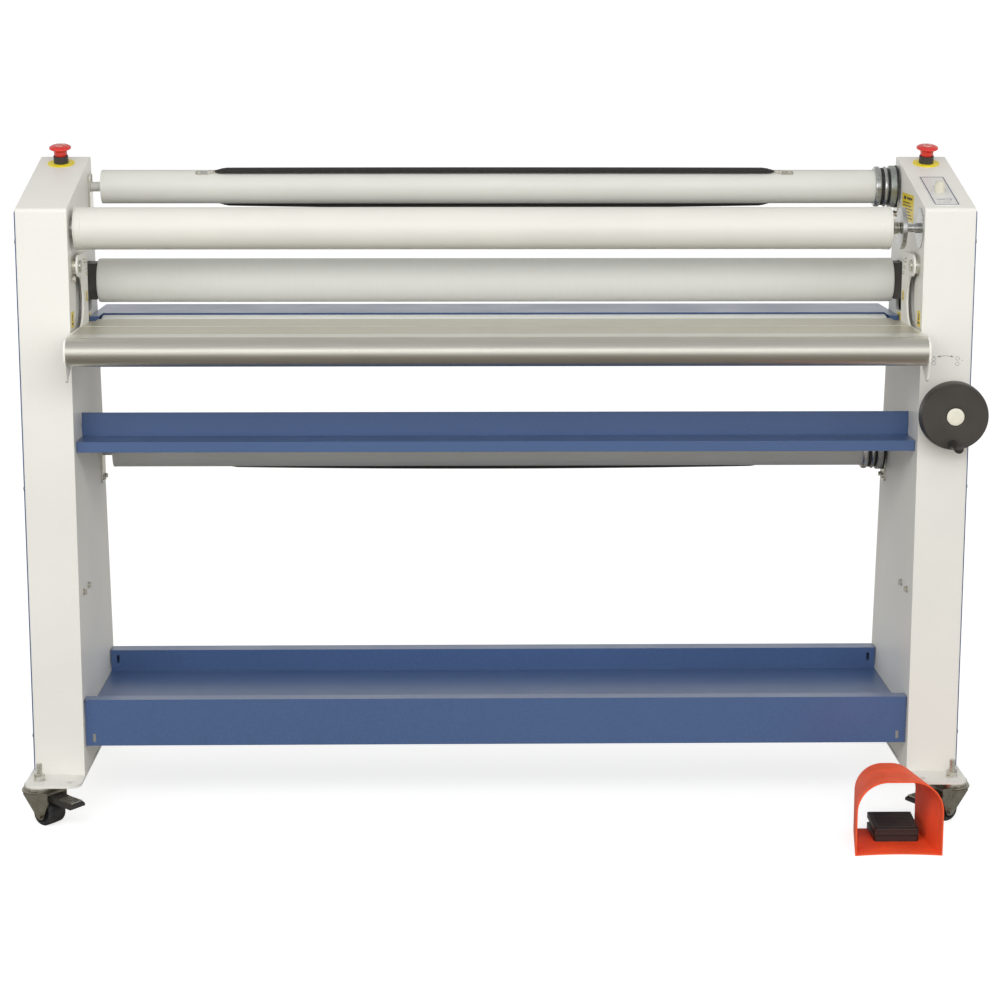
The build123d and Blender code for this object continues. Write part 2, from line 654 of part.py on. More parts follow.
def lift_cam(x):
    """Plate cam whose radius falls evenly over half a turn and rises again over the other half."""
    steps = 36
    points = []
    for step in range(steps):
        angle = 2 * pi * step / steps
        share = abs(angle - pi) / pi
        radius = CAM_LOW_R + NIP_OPENING * share
        points.append((radius * sin(angle), radius * cos(angle)))
    outline = make_face(Polyline(points, close=True))
    rounded = Plane.YZ * outline
    return Pos(x[0], y_of(LIFT_SHAFT[0]), LIFT_SHAFT[1]) * extrude(rounded, amount=x[1] - x[0], dir=(1, 0, 0))


WORM_WHEEL_R = 56.0
WORM_WHEEL_X = (HANDWHEEL_X - 8, HANDWHEEL_X + 8)


def lift_shaft():
    """Cross shaft with a cam at each end and the worm wheel that the handwheel drives."""
    shaft = rod_x((-CAM_X[1] - 2, WORM_WHEEL_X[1] + 4), LIFT_SHAFT, LIFT_SHAFT_R)
    shaft += lift_cam(CAM_X)
    shaft += lift_cam((-CAM_X[1], -CAM_X[0]))
    shaft += rod_x(WORM_WHEEL_X, LIFT_SHAFT, WORM_WHEEL_R)
    return shaft


# ---------------------------------------------------------------- handwheel
def handwheel():
    """Disc wheel with a rounded rim, a boss and the shaft that carries the worm."""
    front = HANDWHEEL_REAR_DEPTH - HANDWHEEL_THICK
    disc = rod_y((front, HANDWHEEL_REAR_DEPTH), HANDWHEEL_X, HANDWHEEL_Z, HANDWHEEL_R)
    disc = fillet(disc.edges().filter_by(GeomType.CIRCLE), 5.5)
    wheel = disc + rod_y((HANDWHEEL_REAR_DEPTH - 2, -FREE_GAP), HANDWHEEL_X, HANDWHEEL_Z, 20.0)
    wheel += rod_y((-5, LIFT_SHAFT[0] + 26), HANDWHEEL_X, HANDWHEEL_Z, 8.0)
    wheel += rod_y((LIFT_SHAFT[0] - 22, LIFT_SHAFT[0] + 22), HANDWHEEL_X, HANDWHEEL_Z, WORM_R)
    wheel -= rod_y((front - 1, front + 14), CRANK[0], CRANK[1], CRANK_PIN_R + RUNNING_GAP)
    return wheel


def handwheel_cap():
    front = HANDWHEEL_REAR_DEPTH - HANDWHEEL_THICK
    return rod_y((front - 2.5, front), HANDWHEEL_X, HANDWHEEL_Z, 17.0)


CRANK = (HANDWHEEL_X - 3.5, HANDWHEEL_Z - 54.0)
CRANK_PIN_R = 5.0


def crank_handle():
    """Revolving grip, waisted at the wheel and full at the tip, turned about a Y axis."""
    front = HANDWHEEL_REAR_DEPTH - HANDWHEEL_THICK
    profile = [(13.5, 0), (13.5, CRANK_PIN_R), (-FREE_GAP, CRANK_PIN_R), (-FREE_GAP, 8.5), (-6, 9.5),
               (-20, 7.5), (-44, 9.0), (-57, 9.5), (-64, 7.5), (-67, 4.0), (-67, 0)]
    outline = make_face(Polyline([(r, t) for t, r in profile], close=True))
    return Pos(CRANK[0], y_of(front), CRANK[1]) * revolve(outline, axis=Axis.Y)


# ---------------------------------------------------------------- liner take-up
def liner_tube():
    """Take-up tube with a closed end wall on the spindle at each end."""
    x0, x1 = LINER_TUBE_X
    wall = 4.0
    bore = SPINDLE_R + RUNNING_GAP
    profile = [(x0, bore), (x0, LINER_R), (x1, LINER_R), (x1, bore), (x1 - 14, bore), (x1 - 14, LINER_R - wall),
               (x0 + 14, LINER_R - wall), (x0 + 14, bore)]
    return turned_x(profile, LINER)


def liner_spindle():
    """Fixed spindle with a collar and a round flange against each inner plate."""
    spindle = rod_x((-INNER_X - INNER_PLATE, INNER_X + INNER_PLATE), LINER, SPINDLE_R)
    spindle += rod_x((INNER_X - 2, INNER_X), LINER, 40.0)
    spindle += rod_x((INNER_X - 10, INNER_X - 2), LINER, 10.0)
    spindle += rod_x((-INNER_X, -INNER_X + 5), LINER, 20.0)
    return spindle


def liner_spring():
    """Envelope of the coil spring that presses the tube against its tension disc."""
    x = (LINER_TUBE_X[1] + 0.5, LINER_DISC_X[0] - 0.5)
    return rod_x(x, LINER, 12.0) - rod_x((x[0] - 1, x[1] + 1), LINER, SPINDLE_R + 0.6)


def liner_tension_disc():
    disc = rod_x(LINER_DISC_X, LINER, LINER_R)
    disc = chamfer(disc.edges().filter_by(GeomType.CIRCLE), 1.0)
    return disc - rod_x((LINER_DISC_X[0] - 1, LINER_DISC_X[1] + 1), LINER, SPINDLE_R)


# ---------------------------------------------------------------- mandrels
def mandrel(at):
    """Hollow tube on a through shaft, closed by a plug at each end."""
    x0, x1 = MANDREL_X
    inner = MANDREL_R - 3.0
    r = MANDREL_SHAFT_R
    tube = turned_x([(x0, 0), (x0, MANDREL_R), (x1, MANDREL_R), (x1, 0)], at)
    hollow = turned_x([(x0 + 20, 0), (x0 + 20, inner), (x1 - 20, inner), (x1 - 20, 0)], at)
    shaft = rod_x((-INNER_X + 1, INNER_X - 1), at, r)
    return tube - hollow + shaft


STRAP_HALF_LENGTH = 580.0
STRAP_R = 6.2
STRAP_BOWS = (1.0, 7.0)
STRAP_ANGLES = (34.0, 214.0)


def grip_strap(bow):
    """Round elastic strap along the tube, held at its ends and bowed clear in the middle."""
    height = MANDREL_R + STRAP_R + FREE_GAP
    path = ThreePointArc((-STRAP_HALF_LENGTH, 0, height), (0, 0, height + bow), (STRAP_HALF_LENGTH, 0, height))
    section = Plane(origin=path @ 0, z_dir=path % 0) * Circle(STRAP_R)
    return sweep(section, path=path)


def grip_straps(at):
    """One strap in front of the tube's top and a slacker one behind its underside."""
    place = Pos(0, y_of(at[0]), at[1])
    return [place * Rot(angle, 0, 0) * grip_strap(bow) for angle, bow in zip(STRAP_ANGLES, STRAP_BOWS)]


BRAKE_STEPS = (12.0, 19.0, 26.0, 30.0)


def brake_rings(at):
    """Adjustable brake at the mandrel's right end: two rings and a wide disc with dark gaps between them."""
    x = MANDREL_X[1]
    end = INNER_X - CRADLE - 0.5
    a, b, c, d = [x + step for step in BRAKE_STEPS]
    r = MANDREL_SHAFT_R
    ring = BRAKE_RING_R
    groove = BRAKE_GROOVE_R
    profile = [(x, r), (x, ring), (a, ring), (a, groove), (b, groove), (b, ring), (c, ring), (c, groove),
               (d, groove), (d, BRAKE_DISC_R), (end, BRAKE_DISC_R), (end, r)]
    return turned_x(profile, at)


CRADLE = 4.0
CRADLE_HALF = 22.0
CRADLE_HEIGHTS = (-68.0, 26.0)
CRADLE_BOLTS = ((-12.0, -56.0), (12.0, -56.0))


def cradle(at):
    """Hook plate on the inner plate: an open-topped slot that carries the mandrel's shaft."""
    depth, z = at
    x = (INNER_X - CRADLE, INNER_X)
    low, high = CRADLE_HEIGHTS
    plate = block(x, (depth - CRADLE_HALF, depth + CRADLE_HALF), (z + low, z + high))
    plate = fillet(plate.edges().filter_by(Axis.X), 8.0)
    slot = rod_x((x[0] - 1, x[1] + 1), at, MANDREL_SHAFT_R + FREE_GAP)
    slot += block((x[0] - 1, x[1] + 1), (depth - MANDREL_SHAFT_R - FREE_GAP, depth + MANDREL_SHAFT_R + FREE_GAP),
                  (z, z + 30))
    return plate - slot


def cradles():
    solids = []
    for at in (SUPPLY_MANDREL, LOWER_MANDREL):
        solids += [cradle(at), mirrored(cradle(at))]
    return solids


# ---------------------------------------------------------------- drive
def gear_motor():
    """Motor standing below its gearbox in the left cabinet, with the output shaft to the inside."""
    depth, z = MOTOR_CENTRE
    gearbox = block((-930, -878), (depth - 50, depth + 50), (z - 60, z + 60))
    gearbox = fillet(gearbox.edges().filter_by(Axis.X), 10.0)
    motor = rod_z((z - 240, z - 60), -890, depth, 38.0)
    shaft = rod_x((-878, -860), MOTOR_CENTRE, 8.0)
    return gearbox + motor + shaft


def sprocket(at, radius, teeth, bore):
    """Chain sprocket with shallow round tooth gaps."""
    x = (-SPROCKET_X[1], -SPROCKET_X[0])
    wheel = rod_x(x, at, radius)
    for tooth in range(teeth):
        angle = 2 * pi * tooth / teeth
        place = (at[0] + radius * cos(angle), at[1] + radius * sin(angle))
        wheel -= rod_x((x[0] - 1, x[1] + 1), place, 2.4)
    return wheel - rod_x((x[0] - 1, x[1] + 1), at, bore)


def drive_chain():
    """Chain run round both sprockets, as one closed band."""
    x = (-SPROCKET_X[1] + 1, -SPROCKET_X[0] - 1)
    upper = (NIP_DEPTH, BOTTOM_ROLLER_Z)
    inner = chain_loop(x, upper, ROLLER_SPROCKET_R + FREE_GAP, MOTOR_SPROCKET_R + FREE_GAP, 1)
    outer = chain_loop(x, upper, ROLLER_SPROCKET_R + CHAIN_THICK, MOTOR_SPROCKET_R + CHAIN_THICK, 0)
    return outer - inner


def chain_loop(x, upper, r_up, r_low, extra):
    """Prism round two circles and the two straight runs that touch both."""
    span = upper[1] - MOTOR_CENTRE[1]
    lean = (r_up - r_low) / span
    side = (1 - lean * lean) ** 0.5
    quad = [
        (upper[0] - r_up * side, upper[1] - r_up * lean),
        (upper[0] + r_up * side, upper[1] - r_up * lean),
        (MOTOR_CENTRE[0] + r_low * side, MOTOR_CENTRE[1] - r_low * lean),
        (MOTOR_CENTRE[0] - r_low * side, MOTOR_CENTRE[1] - r_low * lean),
    ]
    wide = (x[0] - extra, x[1] + extra)
    return slab_x(quad, wide) + rod_x(wide, upper, r_up) + rod_x(wide, MOTOR_CENTRE, r_low)


def control_box():
    """Electrical box in the right cabinet, with the mains inlet on its underside lip."""
    box = block((852, 928), (120, 330), (120, 420))
    box = fillet(box.edges().filter_by(Axis.X), 4.0)
    inlet = block((876, 904), (180, 230), (100, 120)) - block((880, 900), (185, 225), (99, 114))
    return [box, inlet]


# ---------------------------------------------------------------- controls
def control_panel():
    """Thin membrane plate on the right cabinet's slope, with a hole for the speed knob."""
    length = (PANEL_DEPTHS[1] - PANEL_DEPTHS[0]) / cos(radians(SLOPE_DEG))
    width = PANEL_X[1] - PANEL_X[0]
    middle = on_slope(sum(PANEL_X) / 2, sum(PANEL_DEPTHS) / 2)
    plate = middle * Box(width, length, 1.2, align=(Align.CENTER, Align.CENTER, Align.MIN))
    return plate - on_slope(KNOB_X, KNOB_DEPTH) * Cylinder(3.3, 20)


def speed_knob():
    """Fluted knob with a pointer ridge on its cap."""
    skirt = standing(10.0, 20.0)
    flutes = 16
    for flute in range(flutes):
        skirt -= Rot(0, 0, flute * 360 / flutes) * Pos(10.4, 0, 4) * standing(1.1, 18)
    cap = upright(standing(8.2, 2.5), 20.0)
    stem = upright(standing(3.0, 16), -14)
    return on_slope(KNOB_X, KNOB_DEPTH) * (upright(skirt + cap, 1.5) + stem)


ESTOP_TRAVEL = 5.0
ESTOP_STEM_R = 7.0
ESTOP_HEAD_R = 22.0
ESTOP_NECK_R = 14.0
ESTOP_COLLAR_R = 15.0
ESTOP_DISC_R = 27.5
HEAD_BASE = 16.5 + ESTOP_TRAVEL


def upright(shape, rise):
    """Shape lifted along the local Z axis."""
    return Pos(0, 0, rise) * shape


def standing(r, height):
    """Cylinder standing on the local XY plane."""
    return Cylinder(r, height, align=(Align.CENTER, Align.CENTER, Align.MIN))


def estop_stem(x):
    """Stem that slides in the collar when the button is struck."""
    return on_slope(x, ESTOP_DEPTH) * upright(standing(ESTOP_STEM_R, 44), -12)


def estop_head(x):
    """Mushroom head that twists on its stem to let the button back out."""
    on_end = (Align.CENTER, Align.CENTER, Align.MIN)
    neck = upright(standing(ESTOP_NECK_R, 8.5), HEAD_BASE)
    cone = Cone(ESTOP_NECK_R, ESTOP_HEAD_R, 6.0, align=on_end)
    rim = upright(standing(ESTOP_HEAD_R, 4.0), HEAD_BASE + 8.5)
    crown = Cone(ESTOP_HEAD_R, ESTOP_HEAD_R - 7, 5.5, align=on_end)
    head = neck + upright(cone, HEAD_BASE + 2.5) + rim + upright(crown, HEAD_BASE + 12.5)
    bore = upright(standing(ESTOP_STEM_R + RUNNING_GAP, 32 + FREE_GAP), 0)
    return on_slope(x, ESTOP_DEPTH) * (head - bore)


def estop_collar(x):
    """Black collar with its neck through the sheet, the yellow disc and the contact block below."""
    bore = Cylinder(ESTOP_STEM_R + RUNNING_GAP, 200)
    disc = standing(ESTOP_DISC_R, 2.0) - Cylinder(11.0, 20)
    collar = upright(standing(ESTOP_COLLAR_R, 14.0), 2.0) + upright(standing(11.0, 14.0), -10)
    contacts = upright(Box(30, 40, 30, align=(Align.CENTER, Align.CENTER, Align.MIN)), -50)
    return [on_slope(x, ESTOP_DEPTH) * solid for solid in (collar - bore, disc, contacts)]


# ---------------------------------------------------------------- foot pedal
def arch_face(depth, width, height, radius, inset):
    """Arch outline standing on the floor at a depth: flat foot, upright sides, rounded top."""
    w = width - 2 * inset
    h = height - 2 * inset
    outline = Rectangle(w, h, align=(Align.CENTER, Align.MIN))
    top = outline.vertices().sort_by(Axis.Y)[2:]
    outline = fillet(top, radius - inset)
    return Pos(GUARD_X, y_of(depth), inset) * (Plane.XZ * outline)


def guard_solid(inset, over):
    """Arch tapering from the wide front mouth to the narrower back."""
    rear = GUARD_FRONT_DEPTH + GUARD_LENGTH
    slope = (GUARD_WIDTHS[0] - GUARD_WIDTHS[1]) / GUARD_LENGTH * over
    front_face = arch_face(GUARD_FRONT_DEPTH - over, GUARD_WIDTHS[0] + slope, GUARD_HEIGHTS[0], GUARD_CORNERS[0], inset)
    rear_face = arch_face(rear + over, GUARD_WIDTHS[1] - slope, GUARD_HEIGHTS[1], GUARD_CORNERS[1], inset)
    return loft([front_face, rear_face])


def pedal_guard():
    """Open-ended guard over the foot switch, its floor's front edge hollowed and drilled."""
    guard = guard_solid(0, 0) - guard_solid(GUARD_WALL, 2)
    scoop_r = 420.0
    guard -= Pos(GUARD_X, y_of(GUARD_FRONT_DEPTH) - scoop_r + 8, 0) * Cylinder(scoop_r, 8)
    for x, depth in ((-66, -254), (-34, -231), (46, -232)):
        guard -= rod_z((-1, GUARD_WALL + 1), GUARD_X + x, depth, 2.5)
    return guard


TREADLE_PIN = (PEDAL_DEPTHS[0] + 8.0, 19.5)
TREADLE_PIN_R = 2.5
LUG_INSET = 4.0
LUG_WIDTH = 8.0


def pedal_base():
    """Switch housing screwed to the guard's floor, hollowed for the treadle's spring."""
    x = (PEDAL_X - PEDAL_WIDTH / 2, PEDAL_X + PEDAL_WIDTH / 2)
    front, rear = PEDAL_DEPTHS
    base = block(x, PEDAL_DEPTHS, (GUARD_WALL, PEDAL_BASE_Z))
    base = fillet(base.edges().filter_by(Axis.Z), 6.0)
    well = block((x[0] + 8, x[1] - 8), (front + 20, rear - 8), (PEDAL_BASE_Z - 6, PEDAL_BASE_Z + 1))
    pin = rod_x((x[0] + LUG_INSET, x[1] - LUG_INSET), TREADLE_PIN, TREADLE_PIN_R)
    lug_depths = (front + 4, front + 13)
    lug_z = (PEDAL_BASE_Z - 2, TREADLE_PIN[1] + TREADLE_PIN_R)
    lugs = block((x[0] + LUG_INSET, x[0] + LUG_INSET + LUG_WIDTH), lug_depths, lug_z)
    lugs += block((x[1] - LUG_INSET - LUG_WIDTH, x[1] - LUG_INSET), lug_depths, lug_z)
    return base - well + lugs + pin


def pedal_treadle():
    """Thick tread with a rounded front skirt, hinged at its front edge."""
    front, rear = PEDAL_DEPTHS
    hub_inset = LUG_INSET + LUG_WIDTH + 2
    hub_x = (PEDAL_X - PEDAL_WIDTH / 2 + hub_inset, PEDAL_X + PEDAL_WIDTH / 2 - hub_inset)
    wide = (PEDAL_X - PEDAL_WIDTH / 2 + 1, PEDAL_X + PEDAL_WIDTH / 2 - 1)
    over = [(front - 1, 15.5), (front - 1, 26.5), (front + 2, 29.5), (rear - 4, 36), (rear, 33)]
    under = [(rear, 23), (front + 16, 23), (front + 3, 24.5), (front + 2, 15.5)]
    tread = slab_x(over + under, wide)
    solid = tread + rod_x(hub_x, TREADLE_PIN, 2 * TREADLE_PIN_R)
    return solid - rod_x((hub_x[0] - 1, hub_x[1] + 1), TREADLE_PIN, TREADLE_PIN_R + RUNNING_GAP)


# ---------------------------------------------------------------- bolts on the inner plates
PLATE_BOLTS = ((57.0, 453.5), (118.0, 454.5), (104.0, 752.0), (108.0, 789.0))


def frame_bolts():
    """Hexagon bolts through the inner plates, the same on both sides."""
    solids = []
    for at in PLATE_BOLTS:
        head = bolt_head(INNER_X, at, -1)
        solids += [head, mirrored(head)]
    for at in (SUPPLY_MANDREL, LOWER_MANDREL):
        for back, rise in CRADLE_BOLTS:
            place = (at[0] + back, at[1] + rise)
            head = bolt_head(INNER_X - CRADLE, place, -1, across_flats=8.0, height=4.0)
            solids += [head, mirrored(head)]
    return solids


# ---------------------------------------------------------------- assembly
def castor_nodes():
    """Stems in one node, then a fork with its pins, a wheel and maybe a brake for each castor."""
    nodes = {"castor_stems": []}
    for name, (x, depth, heading) in CASTORS.items():
        place = castor_place(x, depth, heading)
        nodes["castor_stems"] += castor_stem(x, depth)
        nodes["castor_fork_" + name] = [place * castor_fork(), place * castor_axle(), place * brake_pin()]
        nodes["castor_wheel_" + name] = [place * castor_wheel()]
        if name.startswith("front"):
            nodes["castor_brake_" + name] = [place * brake_pedal()]
    return nodes


def laminator():
    """Every node of the machine as a list of its solids."""
    roller_journal = (-858.0, 858.0)
    driven_journal = (-880.0, 858.0)
    nodes = {
        "left_cabinet": [finished_left_cabinet()],
        "right_cabinet": [finished_right_cabinet()],
        "side_panels": [right_side_panel(), mirrored(right_side_panel())],
        "base_plates": base_plates(),
        "bottom_tray": [bottom_tray()],
        "mid_shelf": [mid_shelf()],
        "exit_table": [exit_table()],
        "frame_screws": panel_screws() + frame_bolts(),
        "feed_table": [feed_table()],
        "table_nose": [table_nose()],
        "table_arms": table_arms(),
        "table_pivot_pins": [pivot_pin(), mirrored(pivot_pin())],
        "table_latch_button": [table_latch_button()],
        "top_roller_sleeve": [roller_sleeve(TOP_SLEEVE_X, TOP_ROLLER_Z, CORE_R)],
        "top_roller_core": [roller_core(TOP_SLEEVE_X, TOP_ROLLER_Z, roller_journal)],
        "bottom_roller_sleeve": [roller_sleeve(BOTTOM_SLEEVE_X, BOTTOM_ROLLER_Z, CORE_R)],
        "bottom_roller_core": [roller_core(BOTTOM_SLEEVE_X, BOTTOM_ROLLER_Z, driven_journal)],
        "lift_blocks": lift_blocks(),
        "bottom_roller_bearings": [lower_bearing(), mirrored(lower_bearing())],
        "lift_shaft": [lift_shaft()],
        "handwheel": [handwheel()],
        "handwheel_cap": [handwheel_cap()],
        "crank_handle": [crank_handle()],
        "liner_tube": [liner_tube()],
        "liner_spindle": [liner_spindle()],
        "liner_spring": [liner_spring()],
        "liner_tension_disc": [liner_tension_disc()],
        "supply_mandrel": [mandrel(SUPPLY_MANDREL)],
        "supply_grip_straps": grip_straps(SUPPLY_MANDREL),
        "supply_brake_rings": [brake_rings(SUPPLY_MANDREL)],
        "lower_mandrel": [mandrel(LOWER_MANDREL)],
        "lower_grip_straps": grip_straps(LOWER_MANDREL),
        "lower_brake_rings": [brake_rings(LOWER_MANDREL)],
        "mandrel_cradles": cradles(),
        "gear_motor": [gear_motor()],
        "roller_sprocket": [sprocket((NIP_DEPTH, BOTTOM_ROLLER_Z), ROLLER_SPROCKET_R, 38, JOURNAL_R)],
        "motor_sprocket": [sprocket(MOTOR_CENTRE, MOTOR_SPROCKET_R, 19, 8.0 + RUNNING_GAP)],
        "drive_chain": [drive_chain()],
        "control_box": control_box(),
        "control_panel": [control_panel()],
        "speed_knob": [speed_knob()],
        "estop_stem_left": [estop_stem(-ESTOP_X)],
        "estop_stem_right": [estop_stem(ESTOP_X)],
        "estop_head_left": [estop_head(-ESTOP_X)],
        "estop_head_right": [estop_head(ESTOP_X)],
        "estop_collars": estop_collar(-ESTOP_X) + estop_collar(ESTOP_X),
        "pedal_guard": [pedal_guard()],
        "pedal_base": [pedal_base()],
        "pedal_treadle": [pedal_treadle()],
    }
    nodes.update(castor_nodes())
    return nodes


def main():
    os.makedirs("parts", exist_ok=True)
    for name, solids in laminator().items():
        shape = solids[0] if len(solids) == 1 else Compound(children=solids)
        export_step(shape, f"parts/{name}.step")


main()
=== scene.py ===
"""Looks of the cold roll laminator: finishes, fine pieces, floor, light and camera.

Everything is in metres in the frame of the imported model. Lengths written in millimetres carry MM.
Places come from the CAD nodes' boxes and from the record's joints.
"""

import json
from math import atan2, cos, pi, radians, sin

import bmesh
import bpy
from mathutils import Matrix, Vector


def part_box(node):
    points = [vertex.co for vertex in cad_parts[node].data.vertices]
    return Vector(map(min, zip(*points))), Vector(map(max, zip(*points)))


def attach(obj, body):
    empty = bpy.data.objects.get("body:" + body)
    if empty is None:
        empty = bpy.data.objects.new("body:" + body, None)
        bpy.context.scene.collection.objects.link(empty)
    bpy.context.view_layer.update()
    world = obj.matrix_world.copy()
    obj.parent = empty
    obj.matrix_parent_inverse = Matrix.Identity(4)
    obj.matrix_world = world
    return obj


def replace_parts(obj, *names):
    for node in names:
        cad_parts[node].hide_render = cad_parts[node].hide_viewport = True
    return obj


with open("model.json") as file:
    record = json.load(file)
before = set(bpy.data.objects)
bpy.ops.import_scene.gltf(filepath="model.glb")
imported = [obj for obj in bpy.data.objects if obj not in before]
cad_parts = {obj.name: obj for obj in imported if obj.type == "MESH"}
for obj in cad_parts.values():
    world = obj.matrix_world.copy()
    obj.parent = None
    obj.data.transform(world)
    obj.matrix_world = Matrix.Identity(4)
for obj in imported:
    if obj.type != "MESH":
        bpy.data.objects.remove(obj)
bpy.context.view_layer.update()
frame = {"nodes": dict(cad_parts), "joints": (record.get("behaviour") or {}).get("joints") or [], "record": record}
MM = 0.001
NEAR_ZERO = 1e-7
X_AXIS = Vector((1, 0, 0))
Y_AXIS = Vector((0, 1, 0))
Z_AXIS = Vector((0, 0, 1))
JOINTS = {joint["name"]: joint for joint in frame["joints"]}
FINISHES = {}
SIDES = ("left", "right")
FRONT_CASTORS = ("front_left", "front_right")
CASTORS = FRONT_CASTORS + ("rear_left", "rear_right")


def joint_place(name):
    return Vector(JOINTS[name]["pos_m"])


def joint_axis(name):
    return Vector(JOINTS[name]["axis"]).normalized()


def in_mm(points):
    """Metres from points written in millimetres."""
    return [(a * MM, b * MM) for a, b in points]


# ---------------------------------------------------------------- materials
class Finish:
    """A Principled material with short chains of procedural nodes on object coordinates."""

    def __init__(self, name, roughness=0.5, metallic=0.0, **sockets):
        self.material = bpy.data.materials.new(name)
        self.material.use_nodes = True
        self.tree = self.material.node_tree
        self.shader = self.tree.nodes["Principled BSDF"]
        self.shader.inputs["Roughness"].default_value = roughness
        self.shader.inputs["Metallic"].default_value = metallic
        for socket, value in sockets.items():
            self.shader.inputs[socket.replace("_", " ")].default_value = value
        self.coordinates = self.node("ShaderNodeTexCoord").outputs["Object"]
        FINISHES[name] = self.material

    def node(self, kind, **settings):
        made = self.tree.nodes.new(kind)
        for key, value in settings.items():
            setattr(made, key, value)
        return made

    def feed(self, socket, value):
        if isinstance(value, bpy.types.NodeSocket):
            self.tree.links.new(value, socket)
        else:
            socket.default_value = value

    def stretched(self, scale):
        """Object coordinates scaled along X, Y and Z."""
        mapping = self.node("ShaderNodeMapping")
        self.feed(mapping.inputs["Vector"], self.coordinates)
        mapping.inputs["Scale"].default_value = scale
        return mapping.outputs["Vector"]

    def noise(self, scale, detail=3.0, stretch=None, roughness=0.55):
        made = self.node("ShaderNodeTexNoise")
        self.feed(made.inputs["Vector"], self.stretched(stretch) if stretch else self.coordinates)
        made.inputs["Scale"].default_value = scale
        made.inputs["Detail"].default_value = detail
        made.inputs["Roughness"].default_value = roughness
        return made.outputs["Fac"]

    def cells(self, scale, stretch=None):
        made = self.node("ShaderNodeTexVoronoi")
        self.feed(made.inputs["Vector"], self.stretched(stretch) if stretch else self.coordinates)
        made.inputs["Scale"].default_value = scale
        return made.outputs["Distance"]

    def waves(self, scale, direction="X", distortion=0.0):
        made = self.node("ShaderNodeTexWave", bands_direction=direction)
        self.feed(made.inputs["Vector"], self.coordinates)
        made.inputs["Scale"].default_value = scale
        made.inputs["Distortion"].default_value = distortion
        return made.outputs["Fac"]

    def remap(self, value, low, high, start=0.0, end=1.0):
        made = self.node("ShaderNodeMapRange")
        self.feed(made.inputs["Value"], value)
        for socket, number in zip(("From Min", "From Max", "To Min", "To Max"), (start, end, low, high)):
            made.inputs[socket].default_value = number
        return made.outputs["Result"]

    def blended(self, share, first, second):
        """Colour between two colours, or two colour outputs, by a share."""
        made = self.node("ShaderNodeMix", data_type="RGBA")
        self.feed(made.inputs[0], share)
        for socket, colour in zip((made.inputs[6], made.inputs[7]), (first, second)):
            self.feed(socket, colour if isinstance(colour, bpy.types.NodeSocket) else (*colour, 1.0))
        return made.outputs[2]

    def arithmetic(self, operation, first, second):
        made = self.node("ShaderNodeMath", operation=operation)
        self.feed(made.inputs[0], first)
        self.feed(made.inputs[1], second)
        return made.outputs[0]

    def edges(self, radius):
        """Mask that is 1 on sharp edges, and the normal softened there."""
        bevel = self.node("ShaderNodeBevel", samples=4)
        bevel.inputs["Radius"].default_value = radius
        geometry = self.node("ShaderNodeNewGeometry")
        dot = self.node("ShaderNodeVectorMath", operation="DOT_PRODUCT")
        self.feed(dot.inputs[0], bevel.outputs["Normal"])
        self.feed(dot.inputs[1], geometry.outputs["Normal"])
        return self.remap(dot.outputs["Value"], 1.0, 0.0, 0.7, 0.98), bevel.outputs["Normal"]

    def bump(self, height, distance, strength=1.0, normal=None):
        made = self.node("ShaderNodeBump")
        self.feed(made.inputs["Height"], height)
        made.inputs["Distance"].default_value = distance
        made.inputs["Strength"].default_value = strength
        if normal is not None:
            self.feed(made.inputs["Normal"], normal)
        return made.outputs["Normal"]

    def colour(self, value):
        self.feed(self.shader.inputs["Base Color"], value)

    def roughness(self, value):
        self.feed(self.shader.inputs["Roughness"], value)

    def normal(self, value):
        self.feed(self.shader.inputs["Normal"], value)


def shade(colour, factor):
    return tuple(min(1.0, c * factor) for c in colour)


def powder_coat(name, colour, pale_edge, roughness, grain, specks, coat=0.0):
    """Baked powder paint: orange-peel grain, faint mottling, pale specks, and pale edges that are partly rubbed
    wear and partly a painted edge highlight.
    """
    finish = Finish(name, Coat_Weight=coat, Coat_Roughness=0.3)
    drift = finish.remap(finish.noise(2.3, 4), 0.0, 1.0, 0.35, 0.65)
    base = finish.blended(drift, shade(colour, 0.955), shade(colour, 1.03))
    speckled = finish.remap(finish.noise(420.0, 2), 0.0, specks, 0.42, 0.66)
    base = finish.blended(speckled, base, shade(colour, 1.35))
    mask, soft_normal = finish.edges(1.3 * MM)
    # Pale edge colour mixed onto sharp edges: partly rubbed wear, partly a painted highlight where the edges catch
    # light.
    edge_lightening = finish.arithmetic("MULTIPLY", mask, finish.remap(finish.noise(60.0, 5), 0.0, 0.5, 0.45, 0.7))
    finish.colour(finish.blended(edge_lightening, base, pale_edge))
    smears = finish.noise(9.0, 5, stretch=(1.0, 1.0, 0.35))
    finish.roughness(finish.remap(smears, roughness - 0.05, roughness + 0.07, 0.3, 0.7))
    peel = finish.bump(finish.noise(grain, 2), 0.25 * MM, 0.35, soft_normal)
    finish.normal(finish.bump(finish.noise(7.0, 2), 0.8 * MM, 0.12, peel))


def satin_aluminium(name, colour, roughness, axis_stretch):
    """Anodised extrusion with fine drawing lines along it and faint handling marks."""
    finish = Finish(name, metallic=1.0, Anisotropic=0.35)
    lines = finish.noise(900.0, 2, stretch=axis_stretch)
    cloud = finish.noise(5.0, 4)
    base = finish.blended(finish.remap(lines, 0.0, 1.0, 0.3, 0.7), shade(colour, 0.93), shade(colour, 1.05))
    finish.colour(finish.blended(finish.remap(cloud, 0.0, 0.3, 0.4, 0.8), base, shade(colour, 0.88)))
    handled = finish.remap(finish.noise(14.0, 6), 0.0, 0.07)
    marks = finish.arithmetic("ADD", finish.remap(lines, 0.0, 0.08), handled)
    finish.roughness(finish.arithmetic("ADD", marks, roughness - 0.07))
    soft_normal = finish.edges(0.8 * MM)[1]
    finish.normal(finish.bump(lines, 0.05 * MM, 0.3, soft_normal))


